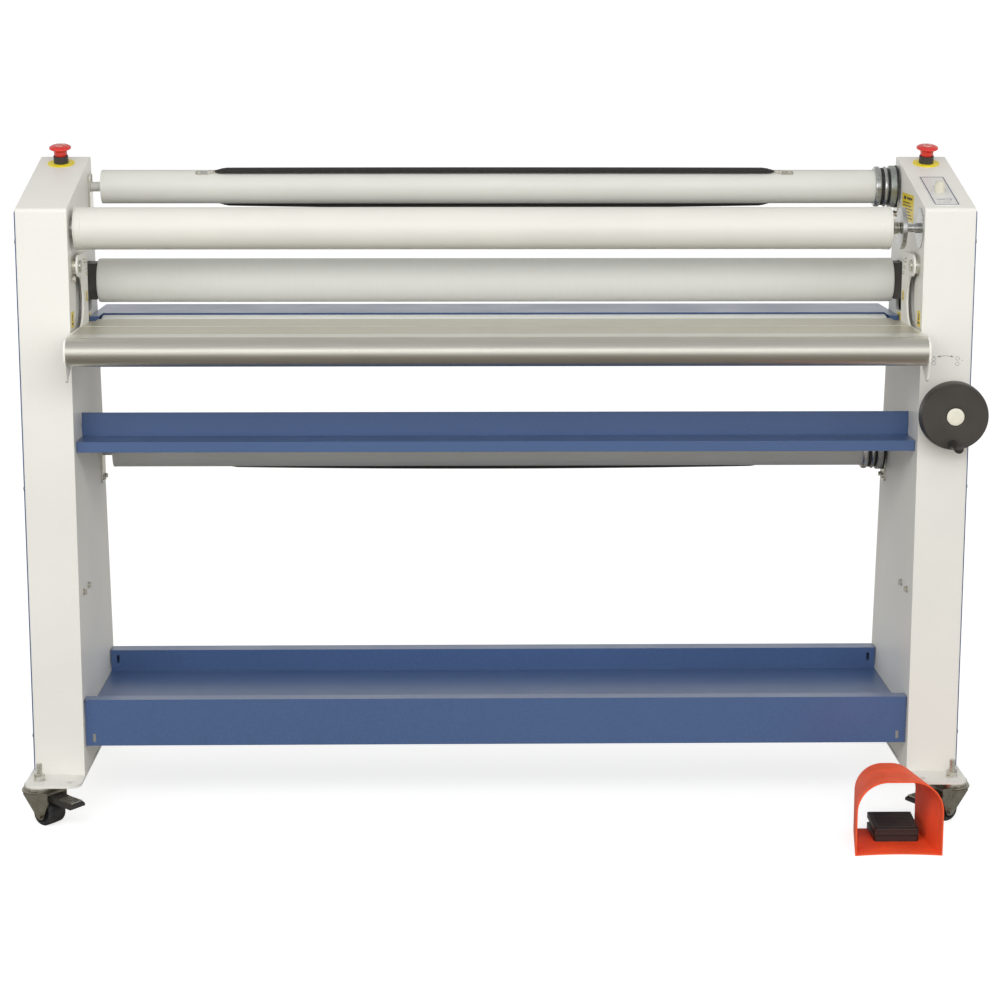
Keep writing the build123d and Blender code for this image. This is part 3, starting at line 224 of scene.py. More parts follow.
def plated_steel(name, colour, tint, roughness, scratch=(1, 1, 1)):
    """Zinc-plated or turned steel: cloudy tint, fine scratches and darker stains."""
    finish = Finish(name, metallic=1.0)
    cloud = finish.remap(finish.noise(55.0, 4), 0.0, 1.0, 0.35, 0.65)
    base = finish.blended(cloud, colour, tint)
    stain = finish.remap(finish.noise(160.0, 5), 0.0, 0.55, 0.55, 0.72)
    finish.colour(finish.blended(stain, base, shade(colour, 0.45)))
    fine = finish.noise(700.0, 3, stretch=scratch)
    finish.roughness(finish.remap(fine, roughness - 0.06, roughness + 0.12, 0.3, 0.7))
    soft_normal = finish.edges(0.5 * MM)[1]
    finish.normal(finish.bump(fine, 0.06 * MM, 0.35, soft_normal))


def dark_casting(name, colour, roughness):
    """Blackened machined block with oil sheen and bright scuffed corners."""
    finish = Finish(name, metallic=0.55)
    oil = finish.remap(finish.noise(30.0, 5), 0.0, 1.0, 0.35, 0.65)
    base = finish.blended(oil, shade(colour, 0.75), shade(colour, 1.35))
    mask, soft_normal = finish.edges(0.9 * MM)
    edge_lightening = finish.arithmetic("MULTIPLY", mask, finish.remap(finish.noise(90.0, 4), 0.0, 0.7, 0.4, 0.6))
    finish.colour(finish.blended(edge_lightening, base, (0.32, 0.31, 0.29)))
    finish.roughness(finish.remap(oil, roughness - 0.12, roughness + 0.1))
    finish.normal(finish.bump(finish.noise(600.0, 3), 0.08 * MM, 0.4, soft_normal))


def moulded_plastic(name, colour, roughness, grain, grain_depth, scuff=0.25, coat=0.0):
    """Injection-moulded plastic: spark-eroded grain, soft mottling and pale scuffs on edges."""
    finish = Finish(name, Coat_Weight=coat, Coat_Roughness=0.12)
    drift = finish.remap(finish.noise(18.0, 4), 0.0, 1.0, 0.35, 0.65)
    base = finish.blended(drift, shade(colour, 0.9), shade(colour, 1.1))
    mask, soft_normal = finish.edges(0.8 * MM)
    pale = tuple(min(1.0, c * 1.15 + 0.05) for c in colour)
    pale_edge = finish.arithmetic("MULTIPLY", mask, finish.remap(finish.noise(80.0, 4), 0.0, scuff, 0.4, 0.65))
    finish.colour(finish.blended(pale_edge, base, pale))
    smear = finish.noise(26.0, 5)
    finish.roughness(finish.remap(smear, roughness - 0.06, roughness + 0.08, 0.3, 0.7))
    finish.normal(finish.bump(finish.noise(grain, 2), grain_depth * MM, 0.5, soft_normal))


def ground_silicone(name, colour, dust):
    """Ground silicone covering: matt, with grinding rings and faint streaks along the roller."""
    finish = Finish(name, Specular_IOR_Level=0.35)
    rings = finish.noise(260.0, 3, stretch=(1.0, 0.06, 0.06))
    streaks = finish.noise(6.0, 4, stretch=(0.25, 1.0, 1.0))
    base = finish.blended(finish.remap(rings, 0.0, 1.0, 0.3, 0.7), shade(colour, 0.99), shade(colour, 1.01))
    lint = finish.remap(finish.cells(95.0), 0.35, 0.0, 0.0, 0.16)
    finish.colour(finish.blended(lint, base, dust))
    finish.roughness(finish.remap(streaks, 0.5, 0.66, 0.3, 0.7))
    finish.normal(finish.bump(rings, 0.05 * MM, 0.35))


def smooth_tube(name, colour, roughness, metallic, warm):
    """Drawn tube with a satin skin: long faint streaks and finger marks."""
    finish = Finish(name, metallic=metallic)
    streaks = finish.noise(22.0, 4, stretch=(0.08, 1.0, 1.0))
    marks = finish.noise(5.5, 5)
    base = finish.blended(finish.remap(streaks, 0.0, 1.0, 0.3, 0.7), shade(colour, 0.97), shade(colour, 1.02))
    finish.colour(finish.blended(finish.remap(marks, 0.0, 0.35, 0.45, 0.75), base, warm))
    finish.roughness(finish.remap(marks, roughness - 0.05, roughness + 0.08, 0.3, 0.7))
    finish.normal(finish.bump(finish.noise(300.0, 2, stretch=(0.2, 1.0, 1.0)), 0.04 * MM, 0.3))


def tyre_rubber(name, colour):
    """Hard castor rubber, dusty where it touches the floor."""
    finish = Finish(name, Specular_IOR_Level=0.4)
    dust = finish.remap(finish.noise(70.0, 6), 0.0, 0.5, 0.5, 0.75)
    finish.colour(finish.blended(dust, colour, (0.12, 0.115, 0.105)))
    finish.roughness(finish.remap(finish.noise(120.0, 4), 0.42, 0.7, 0.3, 0.7))
    finish.normal(finish.bump(finish.noise(500.0, 3), 0.12 * MM, 0.5))


def woven_elastic(name, colour):
    """Ribbed elastic webbing: lengthwise cords crossed by a fine weft."""
    finish = Finish(name, roughness=0.8, Sheen_Weight=0.35, Sheen_Roughness=0.4)
    weft = finish.waves(260.0, "X", 0.6)
    cords = finish.waves(330.0, "Y", 0.3)
    weave = finish.arithmetic("MULTIPLY", weft, cords)
    fuzz = finish.noise(240.0, 4)
    base = finish.blended(weave, shade(colour, 0.55), shade(colour, 1.9))
    finish.colour(finish.blended(finish.remap(fuzz, 0.0, 0.3, 0.5, 0.8), base, (0.09, 0.088, 0.085)))
    finish.roughness(finish.remap(fuzz, 0.7, 0.92))
    finish.normal(finish.bump(weave, 0.25 * MM, 0.7))


def printed_film(name, colour, roughness):
    """Printed adhesive film with a faint ripple and dull edges."""
    finish = Finish(name, Coat_Weight=0.25, Coat_Roughness=0.3)
    drift = finish.noise(70.0, 4)
    finish.colour(finish.blended(drift, shade(colour, 0.93), shade(colour, 1.05)))
    finish.roughness(finish.remap(finish.noise(40.0, 3), roughness - 0.05, roughness + 0.1))
    finish.normal(finish.bump(finish.noise(120.0, 2), 0.05 * MM, 0.4))


CREAM = (0.79, 0.775, 0.725)
BLUE = (0.050, 0.100, 0.235)
# The third colour of each powder coat is its pale edge colour: partly wear, partly a painted edge highlight.
powder_coat("cream_paint", CREAM, (0.86, 0.85, 0.81), 0.42, 520.0, 0.16)
powder_coat("blue_paint", BLUE, (0.20, 0.28, 0.46), 0.34, 380.0, 0.55, 0.6)
satin_aluminium("satin_aluminium", (0.76, 0.735, 0.67), 0.40, (0.01, 1, 1))
# Paler copy of the satin aluminium: a painted highlight for the table's nose strip and deck bead.
satin_aluminium("painted_highlight_aluminium", (0.97, 0.95, 0.90), 0.38, (0.01, 1, 1))
satin_aluminium("deck_aluminium", (0.80, 0.77, 0.665), 0.42, (0.01, 1, 1))
ground_silicone("grey_silicone", (0.77, 0.775, 0.745), (0.75, 0.75, 0.74))
smooth_tube("white_tube", (0.72, 0.71, 0.655), 0.38, 0.0, (0.80, 0.79, 0.72))
smooth_tube("mandrel_grey", (0.66, 0.66, 0.62), 0.40, 0.0, (0.60, 0.59, 0.55))
plated_steel("zinc_steel", (0.76, 0.765, 0.74), (0.70, 0.66, 0.55), 0.2)
plated_steel("turned_steel", (0.60, 0.60, 0.59), (0.50, 0.51, 0.50), 0.24, (0.03, 1, 1))
plated_steel("fork_zinc", (0.40, 0.375, 0.32), (0.30, 0.28, 0.23), 0.27)
plated_steel("dull_zinc", (0.50, 0.53, 0.50), (0.42, 0.45, 0.43), 0.38)
dark_casting("dark_block", (0.075, 0.072, 0.066), 0.48)
moulded_plastic("black_plastic", (0.032, 0.029, 0.026), 0.42, 650.0, 0.12)
moulded_plastic("wheel_plastic", (0.046, 0.040, 0.034), 0.46, 900.0, 0.15, 0.15)
tyre_rubber("black_rubber", (0.018, 0.018, 0.019))
moulded_plastic("red_plastic", (0.66, 0.022, 0.018), 0.26, 300.0, 0.02, 0.1, 0.5)
moulded_plastic("orange_plastic", (0.93, 0.105, 0.028), 0.62, 420.0, 0.08, 0.3)
moulded_plastic("cream_plastic", (0.74, 0.71, 0.60), 0.4, 500.0, 0.06, 0.15)
moulded_plastic("yellow_plastic", (0.80, 0.66, 0.03), 0.4, 300.0, 0.04, 0.1)
printed_film("yellow_film", (0.82, 0.62, 0.015), 0.42)
printed_film("panel_film", (0.73, 0.72, 0.70), 0.32)
printed_film("ink_black", (0.025, 0.024, 0.022), 0.5)
printed_film("ink_blue", (0.03, 0.045, 0.12), 0.45)
printed_film("ink_grey", (0.36, 0.36, 0.36), 0.5)
woven_elastic("black_elastic", (0.022, 0.021, 0.02))
powder_coat("box_grey", (0.30, 0.31, 0.31), (0.4, 0.4, 0.4), 0.45, 450.0, 0.2)


def finish_of(node, slot):
    """Finish of a CAD node: its slot's own, apart from the castor forks and the paler deck."""
    if node.startswith("castor_fork"):
        return "fork_zinc"
    return "deck_aluminium" if node == "feed_table" else slot


def dress_cad_nodes():
    for part in frame["record"]["subparts"]:
        mesh = frame["nodes"][part["node"]].data
        mesh.materials.clear()
        mesh.materials.append(FINISHES[finish_of(part["node"], part["material_slot"])])


# ---------------------------------------------------------------- mesh helpers
def riding(name, data, body):
    """Object for a mesh or a curve, riding on a body."""
    made = bpy.data.objects.new(name, data)
    bpy.context.scene.collection.objects.link(made)
    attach(made, body)
    return made


def piece(name, vertices, faces, finish, body, sharp=35.0):
    """Mesh object with smooth shading up to an edge angle, riding on a body."""
    mesh = bpy.data.meshes.new(name)
    mesh.from_pydata([tuple(v) for v in vertices], [], faces)
    mesh.validate()
    work = bmesh.new()
    work.from_mesh(mesh)
    bmesh.ops.recalc_face_normals(work, faces=work.faces)
    work.to_mesh(mesh)
    work.free()
    mesh.shade_smooth()
    mesh.set_sharp_from_angle(angle=radians(sharp))
    mesh.materials.append(FINISHES[finish])
    return riding(name, mesh, body)


class Build:
    """Vertices and faces gathered from several shapes, for one piece."""

    def __init__(self):
        self.vertices = []
        self.faces = []

    def add(self, vertices, faces):
        start = len(self.vertices)
        self.vertices += vertices
        self.faces += [[start + k for k in face] for face in faces]

    def mirrored(self):
        """Adds the same shapes again on the machine's other side."""
        self.add([Vector((-v[0], v[1], v[2])) for v in self.vertices], [face[::-1] for face in self.faces])

    def piece(self, name, finish, body, slot=None, sharp=35.0):
        return piece(name, self.vertices, self.faces, finish, body, sharp)


def rounded(points, radius, closed=False, steps=4):
    """Polyline with its corners rounded by short curves."""
    count = len(points)
    out = []
    for k, corner in enumerate(points):
        if not closed and k in (0, count - 1):
            out.append(corner)
            continue
        here = Vector(corner)
        before = Vector(points[k - 1]) - here
        after = Vector(points[(k + 1) % count]) - here
        cut = min(radius, 0.45 * before.length, 0.45 * after.length)
        start = here + before.normalized() * cut
        end = here + after.normalized() * cut
        for step in range(steps + 1):
            t = step / steps
            out.append(tuple((1 - t) ** 2 * start + 2 * t * (1 - t) * here + t * t * end))
    return out


def turned(profile, origin, axis, segments=72, closed=False):
    """Vertices and faces of a turned shape from (along, radius) points in metres."""
    along = Vector(axis).normalized()
    side = along.orthogonal().normalized()
    up = along.cross(side)
    vertices = []
    rings = []
    for distance, radius in profile:
        centre = Vector(origin) + along * distance
        if radius < NEAR_ZERO:
            rings.append([len(vertices)])
            vertices.append(centre)
            continue
        rings.append(list(range(len(vertices), len(vertices) + segments)))
        for k in range(segments):
            angle = 2 * pi * k / segments
            vertices.append(centre + (side * cos(angle) + up * sin(angle)) * radius)
    pairs = list(zip(rings, rings[1:]))
    if closed:
        pairs.append((rings[-1], rings[0]))
    faces = []
    for low, high in pairs:
        for k in range(segments):
            after = k + 1
            face = [low[k % len(low)], low[after % len(low)], high[after % len(high)], high[k % len(high)]]
            unique = list(dict.fromkeys(face))
            if len(unique) > 2:
                faces.append(unique)
    return vertices, faces


def placed(origin, across, up):
    """Matrix whose local X and Y lie along two directions and whose Z stands off the surface."""
    u = Vector(across).normalized()
    v = Vector(up).normalized()
    w = u.cross(v)
    matrix = Matrix((u, v, w)).transposed().to_4x4()
    matrix.translation = Vector(origin)
    return matrix


def slab(outline, place, low, high):
    """Prism over a closed outline in a placed plane, between two heights."""
    count = len(outline)
    vertices = [place @ Vector((x, y, low)) for x, y in outline]
    vertices += [place @ Vector((x, y, high)) for x, y in outline]
    faces = [list(range(count))[::-1], list(range(count, 2 * count))]
    faces += [[k, (k + 1) % count, count + (k + 1) % count, count + k] for k in range(count)]
    return vertices, faces


def band(inner, outer, place, low, high, closed=True):
    """Raised strip between two outlines of equal length, as a printed line or a frame."""
    count = len(inner)
    vertices = []
    for height in (low, high):
        for line in (inner, outer):
            vertices += [place @ Vector((x, y, height)) for x, y in line]
    faces = []
    out, up, far = count, 2 * count, 3 * count
    for k in range(count if closed else count - 1):
        n = (k + 1) % count
        faces += [[k, n, out + n, out + k], [up + k, far + k, far + n, up + n]]
        faces += [[out + k, out + n, far + n, far + k], [n, k, up + k, up + n]]
    if not closed:
        last = count - 1
        faces += [[0, out, far, up], [last, last + up, last + far, last + out]]
    return vertices, faces


def box_outline(x0, x1, y0, y1, radius=0.0):
    corners = [(x0, y0), (x1, y0), (x1, y1), (x0, y1)]
    return rounded(corners, radius, closed=True) if radius else corners


def circle(centre, radius, steps=32, start=0.0, sweep=2 * pi, squash=1.0):
    """Points round a circle or an arc of it; squash flattens it to an ellipse."""
    count = steps if abs(sweep - 2 * pi) < NEAR_ZERO else steps + 1
    points = []
    for k in range(count):
        angle = start + sweep * k / steps
        points.append((centre[0] + radius * cos(angle), centre[1] + radius * squash * sin(angle)))
    return points


def ring_band(centre, radius, width, place, low, high, squash=1.0):
    inner = circle(centre, radius - width / 2, squash=squash)
    outer = circle(centre, radius + width / 2, squash=squash)
    return band(inner, outer, place, low, high)


def dome_bolt(build, place, radius, height, socket=0.4):
    """Button-head screw with a hexagonal socket, standing on a placed plane."""
    axis = place.col[2].to_3d()
    dip = radius * socket
    profile = [(0, 0), (0, radius), (height * 0.35, radius * 0.96), (height * 0.75, radius * 0.72),
               (height, radius * 0.45), (height, dip), (height * 0.45, dip), (height * 0.45, 0)]
    build.add(*turned(profile, place.translation, axis, 24))


def wire(name, points, radius, finish, body):
    """Round wire along a run of points."""
    curve = bpy.data.curves.new(name, "CURVE")
    curve.dimensions = "3D"
    curve.bevel_depth = radius
    curve.bevel_resolution = 4
    curve.use_fill_caps = True
    spline = curve.splines.new("POLY")
    spline.points.add(len(points) - 1)
    for target, point in zip(spline.points, points):
        target.co = (*point, 1.0)
    curve.materials.append(FINISHES[finish])
    return riding(name, curve, body)


# ---------------------------------------------------------------- places
FRONT_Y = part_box("left_cabinet")[0].y
INNER_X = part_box("right_cabinet")[0].x
TABLE_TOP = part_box("feed_table")[1].z
ARM_INNER_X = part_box("feed_table")[1].x
SLOPE_NORMAL = Vector(JOINTS["speed_knob_turn"]["axis"]).normalized()
SLOPE_UP = SLOPE_NORMAL.cross(X_AXIS)

# Sizes of the fine pieces: millimetres, or metres where MM is written.
# The strap angles are in degrees and the arrow angles in radians.
BRAKE_STEPS = (12.0, 19.0, 26.0, 30.0)
BRAKE_BORE = 10.0
STRAP_ANGLES = (34.0, 214.0)
STRAP_BOWS = (1.0, 7.0)
STRAP_RADIUS = 6.2
CAP_THICKNESS = 2.5
DRUM_DEPTH = 32.0
ESTOP_PLATE_DROP = 30.0
ARROW_START = 0.3
ARROW_SWEEP = 1.7
CASTOR_HALF_WIDTH = 22.0
THREAD_PITCH = 1.75
THREAD_TURNS = 12
ARM_SCREWS = ((112, 1119, 5.5), (124, 1104, 3.6), (133, 1092, 3.6))
LABEL_FILM = 0.12 * MM
LABEL_INK = 0.17 * MM
PRINT_HEIGHT = 0.18 * MM


def behind(x, depth, z):
    """Point at a depth behind the cabinets' front faces."""
    return Vector((x, FRONT_Y + depth, z))


# ---------------------------------------------------------------- rollers and tubes
def rounded_sleeve(node, body):
    """Nip roller covering with full soft shoulders, in place of the CAD sleeve."""
    low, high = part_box(node)
    radius = (high.z - low.z) / 2
    centre = Vector((0, (low.y + high.y) / 2, (low.z + high.z) / 2))
    bore = radius - 9 * MM
    profile = [(low.x, bore), (low.x, radius), (high.x, radius), (high.x, bore)]
    profile = [profile[0], *rounded(profile, 7 * MM, steps=7)[1:-1], profile[-1]]
    made = Build()
    made.add(*turned(profile, centre, X_AXIS, 128, closed=True))
    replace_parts(made.piece(node.replace("sleeve", "rubber"), "grey_silicone", body, sharp=50.0), node)


def coil_spring():
    """Compression spring between the liner tube and its tension disc, with closed ends."""
    low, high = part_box("liner_spring")
    centre = joint_place("liner_tube_spin")
    thick = 1.3 * MM
    radius = (high.z - low.z) / 2 - thick
    turns = 6.5
    steps = 240
    points = []
    for k in range(steps + 1):
        share = k / steps
        eased = share - 0.06 * sin(4 * pi * share) / pi
        x = low.x + thick + eased * (high.x - low.x - 2 * thick)
        angle = turns * 2 * pi * share
        points.append((x, centre.y + radius * cos(angle), centre.z + radius * sin(angle)))
    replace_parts(wire("liner_coil_spring", points, thick, "zinc_steel", "root"), "liner_spring")


def liner_end_caps():
    """White moulded caps with a shadow groove, pushed onto both ends of the liner tube."""
    low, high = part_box("liner_tube")
    centre = joint_place("liner_tube_spin")
    radius = (high.z - low.z) / 2 / MM
    profile = in_mm([(0.2, radius * 0.45), (-1.0, radius * 0.5), (-1.0, radius * 0.93), (0.6, radius + 0.9),
                     (3.0, radius + 1.1), (3.4, radius + 0.1), (4.6, radius - 0.3), (4.8, radius + 0.8),
                     (14.0, radius + 0.7), (15.0, radius - 0.2), (6.0, radius - 1.5)])
    made = Build()
    for x, inward in ((low.x, 1), (high.x, -1)):
        made.add(*turned(profile, Vector((x, centre.y, centre.z)), X_AXIS * inward, 128, closed=True))
    made.piece("liner_end_caps", "white_tube", "liner_tube")


def brake_set(node, joint, body):
    """Mandrel brake: two V-edged bright rings, black gaps and a wide plated disc with a dark rear rim."""
    low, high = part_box(node)
    origin = Vector((low.x, joint_place(joint).y, joint_place(joint).z))
    big = (high.z - low.z) / 2 / MM
    ring = big - 2
    end = (high.x - low.x) / MM
    back = end - 3.6
    first, second, third, fourth = BRAKE_STEPS
    rings, disc, black = Build(), Build(), Build()
    for start, stop in ((0.0, first), (second, third)):
        rim = [(start, ring - 2.5), (start + 2, ring - 0.6), (start + 3.2, ring),
               (stop - 3.2, ring), (stop - 2, ring - 0.6), (stop, ring - 2.5)]
        profile = [(start, BRAKE_BORE), *rim, (stop, BRAKE_BORE)]
        rings.add(*turned(in_mm(profile), origin, X_AXIS, 96, closed=True))
    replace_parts(rings.piece(node + "_bright", "turned_steel", body, sharp=25.0), node)
    profile = [(fourth, BRAKE_BORE), (fourth, big - 4), (fourth + 1.2, big - 1), (fourth + 2.2, big - 0.4),
               (back - 0.8, big - 0.4), (back, big - 1), (back, BRAKE_BORE)]
    disc.add(*turned(in_mm(profile), origin, X_AXIS, 128, closed=True))
    disc.piece(node + "_disc", "dull_zinc", body, "turned_steel", sharp=25.0)
    for start, stop, radius in ((first, second, ring - 3), (third, fourth, ring - 4), (back, end, big)):
        corners = in_mm([(start, BRAKE_BORE), (start, radius), (stop, radius), (stop, BRAKE_BORE)])
        black.add(*turned(rounded(corners, 0.6 * MM), origin, X_AXIS, 96, closed=True))
    black.piece(node + "_washers", "black_rubber", body)


def strap(centre, half, radius, out, bow):
    """Vertices and faces of a round cord that tapers at both ends and bows off the mandrel."""
    steps, count = 120, 20
    across = out.cross(X_AXIS)
    vertices = []
    for k in range(steps + 1):
        share = 2 * k / steps - 1
        thick = STRAP_RADIUS * MM * min(1.0, 0.42 + (1 - abs(share)) * 14)
        lift = radius + thick + 0.3 * MM + bow * MM * (1 - share * share)
        place = centre + X_AXIS * share * half + out * lift
        for j in range(count):
            turn = 2 * pi * j / count
            ribbed = thick * (1 + 0.04 * cos(6 * turn))
            vertices.append(place + out * (ribbed * cos(turn)) + across * (ribbed * 1.06 * sin(turn)))
    faces = [list(range(count)), list(range(steps * count, (steps + 1) * count))[::-1]]
    for k in range(steps):
        for j in range(count):
            n = (j + 1) % count
            faces.append([k * count + j, k * count + n, (k + 1) * count + n, (k + 1) * count + j])
    return vertices, faces


def strap_clip(clips, centre, half, radius, out, side):
    """Ferrule, rounded foot and screw that hold one end of a strap on its mandrel."""
    start = centre + X_AXIS * side * (half - 10 * MM) + out * (radius + 2.6 * MM)
    ferrule = [(0, 0.0), (0, 3.4), (2, 3.9), (7, 3.9), (8, 3.3), (13, 3.3), (14, 3.9), (19, 3.9),
               (21, 2.8), (21, 0.0)]
    clips.add(*turned(in_mm(ferrule), start, X_AXIS * side, 24))
    foot = placed(centre + X_AXIS * side * (half + 23 * MM) + out * radius, X_AXIS, out.cross(X_AXIS))
    clips.add(*slab(box_outline(-13 * MM, 13 * MM, -6 * MM, 6 * MM, 3 * MM), foot, -0.6 * MM, 1.5 * MM))
    screw = placed(foot @ Vector((side * 5 * MM, 0, 1.5 * MM)), foot.col[0].to_3d(), foot.col[1].to_3d())
    dome_bolt(clips, screw, 3.4 * MM, 2.2 * MM)


def grip_straps(node, joint, body):
    """Elastic cords on opposite sides of a mandrel, crimped in bright clips."""
    low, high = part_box(node)
    tube_low, tube_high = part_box(node.replace("grip_straps", "mandrel"))
    centre = joint_place(joint)
    half = (high.x - low.x) / 2
    radius = (tube_high.z - tube_low.z) / 2
    straps, clips = Build(), Build()
    for angle, bow in zip(STRAP_ANGLES, STRAP_BOWS):
        out = Vector((0, -sin(radians(angle)), cos(radians(angle))))
        straps.add(*strap(centre, half, radius, out, bow))
        for side in (1, -1):
            strap_clip(clips, centre, half, radius, out, side)
    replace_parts(straps.piece(node + "_webbing", "black_elastic", body, sharp=60.0), node)
    clips.piece(node + "_clips", "zinc_steel", body)


# ---------------------------------------------------------------- hand controls
def handwheel():
    """Drum handwheel: flat face, wide soft shoulder, a groove round the cap, hub and worm shaft."""
    low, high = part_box("handwheel")
    centre = joint_place("handwheel_turn")
    cap_low, cap_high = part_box("handwheel_cap")
    front = cap_low.y + CAP_THICKNESS * MM
    origin = Vector((centre.x, front, centre.z))
    rim = (high.x - low.x) / 2 / MM
    back = (high.y - front) / MM
    cap = (cap_high.x - cap_low.x) / 2 / MM
    shaft_start = DRUM_DEPTH + 14
    groove = [(0.6, 0.0), (0.6, cap + 0.4), (1.4, cap + 1.2), (0.2, cap + 2.6)]
    face = [(0.5, rim * 0.5), (0.4, rim - 7.0), (0.0, rim - 5.0), (0.5, rim - 3.4), (2.0, rim - 2.3),
            (9.0, rim - 1.3)]
    wall = [(20.0, rim - 0.3), (DRUM_DEPTH - 4, rim), (DRUM_DEPTH - 1, rim - 1.2), (DRUM_DEPTH, rim - 4)]
    hub = [(DRUM_DEPTH, 20), (shaft_start, 20), (shaft_start, 8), (back, 8), (back, 0.0)]
    made = Build()
    made.add(*turned(rounded(in_mm(groove + face + wall + hub), 0.8 * MM, steps=3), origin, Y_AXIS, 128))
    drum = made.piece("handwheel_drum", "wheel_plastic", "handwheel", "black_plastic", sharp=50.0)
    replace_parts(drum, "handwheel")
    dome = [(-CAP_THICKNESS, 0.0), (-CAP_THICKNESS, cap * 0.55), (-0.8 * CAP_THICKNESS, cap * 0.9),
            (-0.45 * CAP_THICKNESS, cap), (1.0, cap), (1.0, 0.0)]
    cap_dome = Build()
    cap_dome.add(*turned(in_mm(dome), origin, Y_AXIS, 72))
    cover = cap_dome.piece("handwheel_cap_dome", "cream_plastic", "handwheel", sharp=60.0)
    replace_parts(cover, "handwheel_cap")


def crank_grip():
    """Turned revolving grip: collar, waist and a full rounded tip."""
    low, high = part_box("crank_handle")
    centre = joint_place("crank_handle_spin")
    length = (high.y - low.y) / MM
    profile = [(0.0, 0.0), (0.3, 2.6), (1.4, 5.4), (3.8, 7.8), (8.0, 9.2), (14.0, 9.5), (24.0, 8.8),
               (36.0, 7.8), (46.0, 7.4), (58.0, 8.9), (61.0, 9.4), (66.3, 8.6), (66.7, 5.0), (length, 5.0),
               (length, 0.0)]
    made = Build()
    made.add(*turned(in_mm(profile), Vector((centre.x, low.y, centre.z)), Y_AXIS, 64))
    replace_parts(made.piece("crank_grip", "black_plastic", "crank_handle", sharp=50.0), "crank_handle")


def estop_surface(side):
    """Point on the cabinet's slope that an emergency stop stands on."""
    return joint_place("estop_twist_" + side) - SLOPE_NORMAL * ESTOP_PLATE_DROP * MM


def estop(side):
    """Red mushroom head with its neck, and two raised twist arrows on top."""
    body = "estop_head_" + side
    surface = estop_surface(side)
    profile = [(17.0, 7.3), (17.0, 12.6), (17.6, 13.1), (26.6, 13.5), (28.6, 14.6), (30.4, 17.6),
               (31.4, 20.7), (32.4, 22.2), (33.8, 22.5), (35.2, 22.0), (36.6, 20.2), (38.0, 16.8),
               (39.0, 11.8), (39.5, 6.0), (39.7, 0.0)]
    made = Build()
    made.add(*turned(in_mm(profile), surface, SLOPE_NORMAL, 96))
    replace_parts(made.piece("estop_mushroom_" + side, "red_plastic", body, sharp=60.0), body)
    marks = Build()
    top = placed(surface, X_AXIS, SLOPE_UP)
    for start in (ARROW_START, ARROW_START + pi):
        inner = circle((0, 0), 8.2 * MM, 12, start, ARROW_SWEEP)
        outer = circle((0, 0), 9.8 * MM, 12, start, ARROW_SWEEP)
        marks.add(*band(inner, outer, top, 39.0 * MM, 39.75 * MM, closed=False))
        tip = start + ARROW_SWEEP
        corners = ((6.6, tip), (11.4, tip), (9.0, tip + 0.42))
        marks.add(*slab(in_mm([(r * cos(a), r * sin(a)) for r, a in corners]), top, 38.6 * MM, 39.7 * MM))
    marks.piece("estop_twist_marks_" + side, "cream_plastic", body)


def estop_collars():
    """Black collars, yellow discs and contact blocks of both emergency stops."""
    collar = in_mm([(2.0, 7.2), (2.0, 15.0), (7.2, 15.0), (7.8, 14.6), (8.4, 15.0), (16.0, 15.0),
                    (17.2, 14.6), (17.2, 13.9), (11.0, 13.9), (11.0, 7.2)])
    disc = in_mm([(0.1, 11.2), (0.1, 27.5), (1.6, 27.5), (2.0, 26.6), (2.0, 11.2)])
    contact = box_outline(-15 * MM, 15 * MM, -20 * MM, 20 * MM, 2 * MM)
    neck = in_mm([(-20, 7.2), (-20, 11.0), (2, 11.0), (2, 7.2)])
    rings, discs, blocks = Build(), Build(), Build()
    for side in SIDES:
        surface = estop_surface(side)
        rings.add(*turned(rounded(collar, 0.4 * MM), surface, SLOPE_NORMAL, 72, closed=True))
        discs.add(*turned(disc, surface, SLOPE_NORMAL, 96, closed=True))
        place = placed(surface, X_AXIS, SLOPE_UP)
        blocks.add(*slab(contact, place, -50 * MM, -20 * MM))
        blocks.add(*turned(neck, surface, SLOPE_NORMAL, 48, closed=True))
    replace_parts(rings.piece("estop_collar_rings", "black_plastic", "root"), "estop_collars")
    discs.piece("estop_yellow_discs", "yellow_plastic", "root")
    blocks.piece("estop_contact_blocks", "black_plastic", "root")


def control_graphics():
    """Printed frame, wedge, speed dots and plain symbols on the control panel."""
    knob = joint_place("speed_knob_turn")
    low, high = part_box("control_panel")
    place = placed(knob, X_AXIS, SLOPE_UP)
    run = cos(atan2(SLOPE_UP.z, SLOPE_UP.y))
    left, right = low.x - knob.x, high.x - knob.x
    bottom, top = (low.y - knob.y) / run, (high.y - knob.y) / run
    film, ink = 1.2 * MM, 1.42 * MM
    edge, marks = Build(), Build()
    gap = 2.0 * MM
    outer = box_outline(left + gap, right - gap, bottom + gap, top - gap, 2 * MM)
    gap += 1.8 * MM
    inner = box_outline(left + gap, right - gap, bottom + gap, top - gap, 1 * MM)
    edge.add(*band(inner, outer, place, film, ink))
    wedge = [(-15, -44), (15, -50), (15, -39)]
    inside = [(x * 0.86 + 0.9, y * 0.86 - 6.2) for x, y in wedge]
    edge.add(*band(in_mm(inside), in_mm(wedge), place, film, ink))
    edge.piece("panel_frame_print", "ink_blue", "root", "panel_film")
    for k in range(11):
        angle = radians(225 - 27 * k)
        centre = (17 * MM * cos(angle), 17 * MM * sin(angle))
        marks.add(*slab(circle(centre, 0.9 * MM, 12), place, film, ink))
    marks.add(*ring_band((3 * MM, -62 * MM), 7 * MM, 0.9 * MM, place, film, ink, 0.62))
    marks.add(*ring_band((2 * MM, 34 * MM), 8 * MM, 0.9 * MM, place, film, ink))
    for arrow in ([(0, 31), (5, 34), (0, 37)], [(-14, -60.5), (-9, -62), (-14, -63.5)]):
        marks.add(*slab(in_mm(arrow), place, film, ink))
    marks.piece("panel_symbols", "ink_grey", "root", "panel_film")


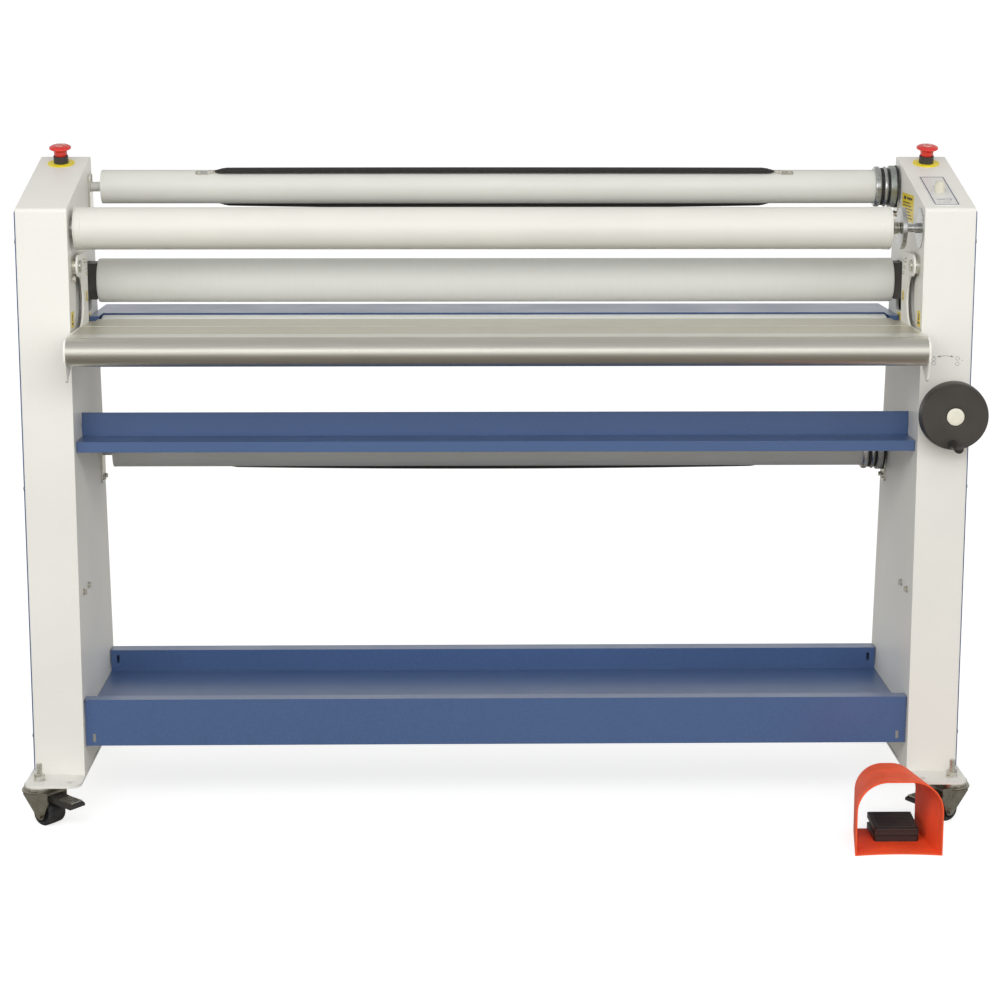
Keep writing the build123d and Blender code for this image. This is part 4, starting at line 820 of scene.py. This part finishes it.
def knob_pointer():
    """Dark line on top of the speed knob."""
    knob = joint_place("speed_knob_turn")
    place = placed(knob, X_AXIS, SLOPE_UP)
    cap = (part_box("speed_knob")[1].z - knob.z) / SLOPE_NORMAL.z - 2.6 * MM
    outline = box_outline(-0.8 * MM, 0.8 * MM, 1.5 * MM, 7.6 * MM, 0.5 * MM)
    pointer = Build()
    pointer.add(*slab(outline, place, cap - 1.5 * MM, cap + 0.3 * MM))
    pointer.piece("knob_pointer", "ink_black", "speed_knob", "black_plastic")


def face_prints():
    """Grey open and close symbols beside the handwheel, and two dots on the left cabinet."""
    place = placed(behind(INNER_X, 0, 0), X_AXIS, Z_AXIS)
    ink, dots = Build(), Build()
    middle = (49.6, 869)
    centre = (middle[0] * MM, middle[1] * MM)
    sweep = radians(25)
    start = pi / 2 - sweep / 2
    inner = circle(centre, 70.0 * MM, 24, start, sweep)
    outer = circle(centre, 71.2 * MM, 24, start, sweep)
    ink.add(*band(inner, outer, place, 0, PRINT_HEIGHT, closed=False))
    for sign in (-1, 1):
        angle = pi / 2 + sign * sweep / 2
        back = angle - sign * 0.07
        corners = ((72.6, back), (68.6, back), (70.6, angle + sign * 0.02))
        head = in_mm([(middle[0] + r * cos(a), middle[1] + r * sin(a)) for r, a in corners])
        ink.add(*slab(head[::sign], place, 0, PRINT_HEIGHT))
    for x, gap in ((26.5, 4.2), (73.5, 5.4)):
        for sign in (-1, 1):
            ring = (x * MM, (929 + sign * gap) * MM)
            ink.add(*ring_band(ring, 3.6 * MM, 0.9 * MM, place, 0, PRINT_HEIGHT))
    for x, z, radius in ((26.5, 938.5, 1.3), (83.5, 931, 1.0)):
        ink.add(*slab(circle((x * MM, z * MM), radius * MM, 16), place, 0, PRINT_HEIGHT))
    ink.piece("front_face_symbols", "ink_grey", "root", "cream_paint")
    for z in (933.2, 938.2):
        dots.add(*slab(circle((-2 * INNER_X - 15.3 * MM, z * MM), 1.1 * MM, 16), place, 0, PRINT_HEIGHT))
    dots.piece("left_face_dots", "ink_black", "root", "cream_paint")


def label(film, ink, x, facing, depths, heights, bars):
    """Rounded label on a plate that faces along X, with bars as shares of its width and height."""
    place = placed(behind(x, sum(depths) / 2 * MM, sum(heights) / 2 * MM), Y_AXIS * facing, Z_AXIS)
    width, height = (depths[1] - depths[0]) * MM, (heights[1] - heights[0]) * MM
    corner = min(width, height) * 0.08
    sheet = box_outline(-width / 2, width / 2, -height / 2, height / 2, corner)
    film.add(*slab(sheet, place, 0, LABEL_FILM))
    for start, end, low, high in bars:
        across = ((start - 0.5) * width, (end - 0.5) * width)
        bar = box_outline(*across, (low - 0.5) * height, (high - 0.5) * height)
        ink.add(*slab(bar, place, LABEL_FILM, LABEL_INK))


def stickers():
    """Plain yellow labels with dark bars on the inner plates and on the table arms."""
    film, ink, arm_film, arm_ink = Build(), Build(), Build(), Build()
    lines = [(0.10, 0.90 - 0.11 * (k % 3), 0.10 + 0.11 * k, 0.14 + 0.11 * k) for k in range(6)]
    heading = [(0.16, 0.34, 0.78, 0.90), (0.42, 0.86, 0.80, 0.88)]
    small = [(0.18, 0.82, 0.18, 0.3), (0.38, 0.62, 0.42, 0.82)]
    label(film, ink, INNER_X, -1, (122, 246), (1192, 1247), lines + heading)
    for facing in (-1, 1):
        label(film, ink, -facing * INNER_X, facing, (16, 48), (994, 1026), small)
        label(film, ink, -facing * INNER_X, facing, (224, 262), (979, 1001), small)
        label(arm_film, arm_ink, -facing * ARM_INNER_X, facing, (124, 142), (1036, 1056), small)
    film.piece("plate_labels", "yellow_film", "root", "yellow_plastic")
    ink.piece("plate_label_bars", "ink_black", "root", "black_plastic")
    arm_film.piece("arm_labels", "yellow_film", "feed_table", "yellow_plastic")
    arm_ink.piece("arm_label_bars", "ink_black", "feed_table", "black_plastic")


# ---------------------------------------------------------------- frame details
def stem_threads():
    """Rolled thread on the castor stems above their nuts, and the ball race below each plate."""
    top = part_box("castor_stems")[1].z
    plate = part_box("base_plates")[0].z
    start = -THREAD_TURNS * THREAD_PITCH - 1.4
    profile = [(start, 0.0)]
    for k in range(THREAD_TURNS):
        profile += [(start + k * THREAD_PITCH, 5.6), (start + (k + 0.5) * THREAD_PITCH, 6.35)]
    profile += [(-0.4, 5.2), (0.1, 4.6), (0.1, 0.0)]
    race = [(-0.2, 26.0), (-0.2, 29.0), (-1.4, 31.6), (-4.6, 32.0), (-6.2, 30.4), (-7.6, 30.4), (-7.6, 26.0)]
    threads, races = Build(), Build()
    for castor in CASTORS:
        foot = joint_place("swivel_" + castor)
        threads.add(*turned(in_mm(profile), Vector((foot.x, foot.y, top)), Z_AXIS, 32))
        races.add(*turned(in_mm(race), Vector((foot.x, foot.y, plate)), Z_AXIS, 64, closed=True))
    threads.piece("stem_threads", "zinc_steel", "root")
    races.piece("castor_race_covers", "zinc_steel", "root")


def arm_bolts():
    """One button screw and two socket screws on the inner face of each table arm."""
    made = Build()
    for depth, z, radius in ARM_SCREWS:
        place = placed(behind(ARM_INNER_X, depth * MM, z * MM), -Y_AXIS, Z_AXIS)
        dome_bolt(made, place, radius * MM, radius * 0.9 * MM)
    made.mirrored()
    made.piece("arm_screws", "zinc_steel", "feed_table")


def castor_wheel(castor):
    """Wide castor wheel with a crowned tread, moulded flanks and a ribbed hub."""
    centre = joint_place("wheel_spin_" + castor)
    axis = joint_axis("wheel_spin_" + castor)
    half = CASTOR_HALF_WIDTH
    rim = centre.z / MM
    flank = [(-half - 1, 4.2), (-half - 1, 7.6), (-half - 0.4, 8.3), (-half + 2.6, 9.0), (-half + 2.8, 16.0),
             (-half + 0.4, 17.2), (-half, 18.2), (-half + 0.1, rim - 4.4), (-half + 1.3, rim - 1.6),
             (-half + 3.6, rim - 0.3)]
    near = flank + [(-5.0, rim), (-1.3, rim), (-0.9, rim - 0.6)]
    far = [(-along, radius) for along, radius in reversed(near)]
    made = Build()
    made.add(*turned(in_mm(near + far), centre, axis, 72, closed=True))
    side = axis.orthogonal().normalized()
    up = axis.cross(side)
    rib = box_outline(8.6 * MM, 16.4 * MM, -0.7 * MM, 0.7 * MM)
    for k in range(10):
        angle = 2 * pi * k / 10
        out = side * cos(angle) + up * sin(angle)
        for face in (1, -1):
            place = placed(centre + axis * face * (half - 2.9) * MM, out, axis.cross(out) * face)
            made.add(*slab(rib, place, -0.5 * MM, 1.6 * MM))
    wheel = made.piece("castor_tyre_" + castor, "black_rubber", "wheel_" + castor)
    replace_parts(wheel, "castor_wheel_" + castor)


def fork_crown(castor):
    """Rounded pressed edge round the crown of a castor's fork."""
    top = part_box("castor_fork_" + castor)[1].z
    stem = joint_place("swivel_" + castor)
    profile = [(0.1, 29.0), (0.1, 32.6), (-1.2, 35.2), (-3.4, 36.6), (-5.4, 36.4), (-6.4, 35.0), (-6.4, 33.6)]
    made = Build()
    made.add(*turned(in_mm(profile), Vector((stem.x, stem.y, top)), Z_AXIS, 72, closed=True))
    made.piece("fork_crown_" + castor, "fork_zinc", "castor_" + castor, "zinc_steel")


def lever_ribs(castor):
    """Grip ribs on the outer end of a front castor's brake lever."""
    pin = joint_place("brake_press_" + castor)
    axis = joint_axis("brake_press_" + castor)
    stem = joint_place("swivel_" + castor)
    out = Vector((pin.x - stem.x, pin.y - stem.y, 0)).normalized()
    across = axis if axis.cross(out).z > 0 else -axis
    rib = box_outline(-15 * MM, 15 * MM, -1.1 * MM, 1.1 * MM, 0.5 * MM)
    ribs = Build()
    for k in range(7):
        origin = pin + out * (28 + 5 * k) * MM + Z_AXIS * (2.0 - 0.45 * k) * MM
        ribs.add(*slab(rib, placed(origin, across, out), -1 * MM, 1.5 * MM))
    ribs.piece("brake_ribs_" + castor, "zinc_steel", "brake_" + castor)


def table_strips():
    """Raised step on the nose extrusion and the fine bead along the deck's joint, both in a paler aluminium as a
    painted highlight.
    """
    half = ARM_INNER_X - 1 * MM
    flat, bead = Build(), Build()
    top = placed(behind(0, 0, TABLE_TOP), X_AXIS, Y_AXIS)
    # Thin sheet over the nose in the paler aluminium: a painted highlight band.
    flat.add(*slab(box_outline(-half, half, -121 * MM, -73 * MM), top, 0.0, 0.5 * MM))
    flat.piece("nose_highlight_strip", "painted_highlight_aluminium", "feed_table", "satin_aluminium")
    across = placed(behind(-half, 0, TABLE_TOP), Y_AXIS, Z_AXIS)
    bead.add(*slab(circle((58.6 * MM, 0.0), 1.1 * MM, 10, 0.0, pi), across, 0.0, 2 * half))
    bead.piece("deck_bead", "painted_highlight_aluminium", "feed_table", "satin_aluminium")


def treadle_grip():
    """Moulded frame, grip ribs and rounded front bead of the foot switch's treadle."""
    low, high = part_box("pedal_treadle")
    rise = 6.5 * MM / (high.y - low.y)
    back_edge = Vector(((low.x + high.x) / 2, high.y, high.z - 0.1 * MM))
    half = (high.x - low.x) / 2
    length = high.y - low.y
    slope = Vector((0, 1, rise)).normalized()
    place = placed(back_edge - slope * length, X_AXIS, slope)
    made = Build()
    outer = box_outline(-half + 1 * MM, half - 1 * MM, 5 * MM, length - 6 * MM, 7 * MM)
    inner = box_outline(-half + 6 * MM, half - 6 * MM, 10 * MM, length - 11 * MM, 5 * MM)
    made.add(*band(inner, outer, place, -1 * MM, 1.3 * MM))
    for k in range(9):
        y = (17 + 7 * k) * MM
        rib = box_outline(-half + 9 * MM, half - 9 * MM, y - 1 * MM, y + 1 * MM, 0.8 * MM)
        made.add(*slab(rib, place, -1 * MM, 0.9 * MM))
    bead = circle((1.6 * MM, -2.6 * MM), 3.0 * MM, 16)
    along = placed(place @ Vector((-half + 2 * MM, 0, 0)), slope, place.col[2].to_3d())
    made.add(*slab(bead, along, 0.0, 2 * half - 4 * MM))
    made.piece("treadle_grip", "black_plastic", "treadle")


# ---------------------------------------------------------------- floor, light and camera
def stage_floor():
    """Large pale studio floor, lit evenly and kept out of the machine's reflections."""
    finish = Finish("studio_floor", roughness=0.8)
    finish.colour(finish.blended(finish.noise(0.8, 3), (0.52, 0.52, 0.52), (0.56, 0.56, 0.56)))
    finish.shader.inputs["Emission Color"].default_value = (1, 1, 1, 1)
    finish.shader.inputs["Emission Strength"].default_value = 0.72
    vertices, faces = turned([(0, 0), (0, 80.0)], Vector((0, 0, 0)), Z_AXIS, 64)
    mesh = bpy.data.meshes.new("studio_floor")
    mesh.from_pydata([tuple(v) for v in vertices], [], faces)
    mesh.materials.append(finish.material)
    floor = bpy.data.objects.new("studio_floor", mesh)
    floor.visible_glossy = False
    floor.visible_diffuse = False
    bpy.context.scene.collection.objects.link(floor)


def area_light(name, place, target, size, power, seen_in_gloss=True):
    data = bpy.data.lights.new(name, "AREA")
    data.shape = "RECTANGLE"
    data.size, data.size_y = size
    data.energy = power
    lamp = bpy.data.objects.new(name, data)
    lamp.location = place
    lamp.visible_camera = False
    lamp.visible_glossy = seen_in_gloss
    lamp.rotation_mode = "QUATERNION"
    lamp.rotation_quaternion = (Vector(target) - Vector(place)).to_track_quat("-Z", "Y")
    bpy.context.scene.collection.objects.link(lamp)


# Colours from straight below (0) through the horizon (0.5) to straight above (1).
SKY = ((0.0, (0.17, 0.155, 0.13)), (0.33, (0.24, 0.225, 0.195)), (0.43, (0.52, 0.51, 0.48)),
       (0.487, (1.0, 1.0, 1.0)), (0.525, (1.0, 1.0, 1.0)), (0.60, (0.66, 0.66, 0.645)),
       (1.0, (0.44, 0.44, 0.43)))
SKY_STRENGTH = 1.06


def studio_light():
    """Pale sky over a dark warm ground, a wide soft front light, a sheen strip and two side fills."""
    world = bpy.data.worlds.new("studio")
    bpy.context.scene.world = world
    world.use_nodes = True
    tree = world.node_tree
    background = tree.nodes["Background"]
    coordinates = tree.nodes.new("ShaderNodeTexCoord")
    split = tree.nodes.new("ShaderNodeSeparateXYZ")
    height = tree.nodes.new("ShaderNodeMapRange")
    height.inputs["From Min"].default_value = -1.0
    ramp = tree.nodes.new("ShaderNodeValToRGB")
    while len(ramp.color_ramp.elements) < len(SKY):
        ramp.color_ramp.elements.new(0.5)
    for element, (position, colour) in zip(ramp.color_ramp.elements, SKY):
        element.position = position
        element.color = (*colour, 1.0)
    tree.links.new(coordinates.outputs["Generated"], split.inputs[0])
    tree.links.new(split.outputs["Z"], height.inputs["Value"])
    tree.links.new(height.outputs["Result"], ramp.inputs[0])
    tree.links.new(ramp.outputs[0], background.inputs[0])
    background.inputs[1].default_value = SKY_STRENGTH
    area_light("front_softbox", (-0.2, -3.0, 2.5), (0.1, 0, 1.25), (4.2, 1.2), 60, seen_in_gloss=False)
    area_light("sheen_strip", (-0.2, -3.4, 2.1), (0.1, 0, 0.95), (4.2, 1.0), 14)
    for side, x in zip(SIDES, (-3.6, 3.6)):
        area_light(side + "_fill", (x, -2.6, 1.8), (0, 0, 0.9), (1.4, 1.6), 16)


CAMERA_PLACE = (-0.0797, -4.7625, 1.5308)
CAMERA_PITCH = radians(10.7623)
CAMERA_YAW = radians(1.0571)
CAMERA_ROLL = radians(0.0487)
CAMERA_LENS = 84.98


def camera():
    """Camera a little above the machine, looking slightly down and to the right."""
    data = bpy.data.cameras.new("camera")
    data.lens = CAMERA_LENS
    data.sensor_width = 36.0
    level = Vector((cos(CAMERA_YAW), -sin(CAMERA_YAW), 0))
    ahead = Vector((sin(CAMERA_YAW), cos(CAMERA_YAW), 0)) * cos(CAMERA_PITCH) - Z_AXIS * sin(CAMERA_PITCH)
    above = level.cross(ahead)
    right = level * cos(CAMERA_ROLL) + above * sin(CAMERA_ROLL)
    up = above * cos(CAMERA_ROLL) - level * sin(CAMERA_ROLL)
    made = bpy.data.objects.new("camera", data)
    made.matrix_world = placed(CAMERA_PLACE, right, up)
    bpy.context.scene.collection.objects.link(made)
    bpy.context.scene.camera = made


bpy.context.scene.view_settings.view_transform = "Standard"
dress_cad_nodes()
for roller in ("top_roller", "bottom_roller"):
    rounded_sleeve(roller + "_sleeve", roller)
coil_spring()
liner_end_caps()
for mandrel in ("supply", "lower"):
    brake_set(mandrel + "_brake_rings", mandrel + "_mandrel_spin", mandrel + "_mandrel")
    grip_straps(mandrel + "_grip_straps", mandrel + "_mandrel_spin", mandrel + "_mandrel")
handwheel()
crank_grip()
estop_collars()
for side in SIDES:
    estop(side)
control_graphics()
knob_pointer()
face_prints()
stickers()
stem_threads()
arm_bolts()
for castor in CASTORS:
    castor_wheel(castor)
for castor in CASTORS:
    fork_crown(castor)
for castor in FRONT_CASTORS:
    lever_ribs(castor)
table_strips()
treadle_grip()
stage_floor()
studio_light()
camera()
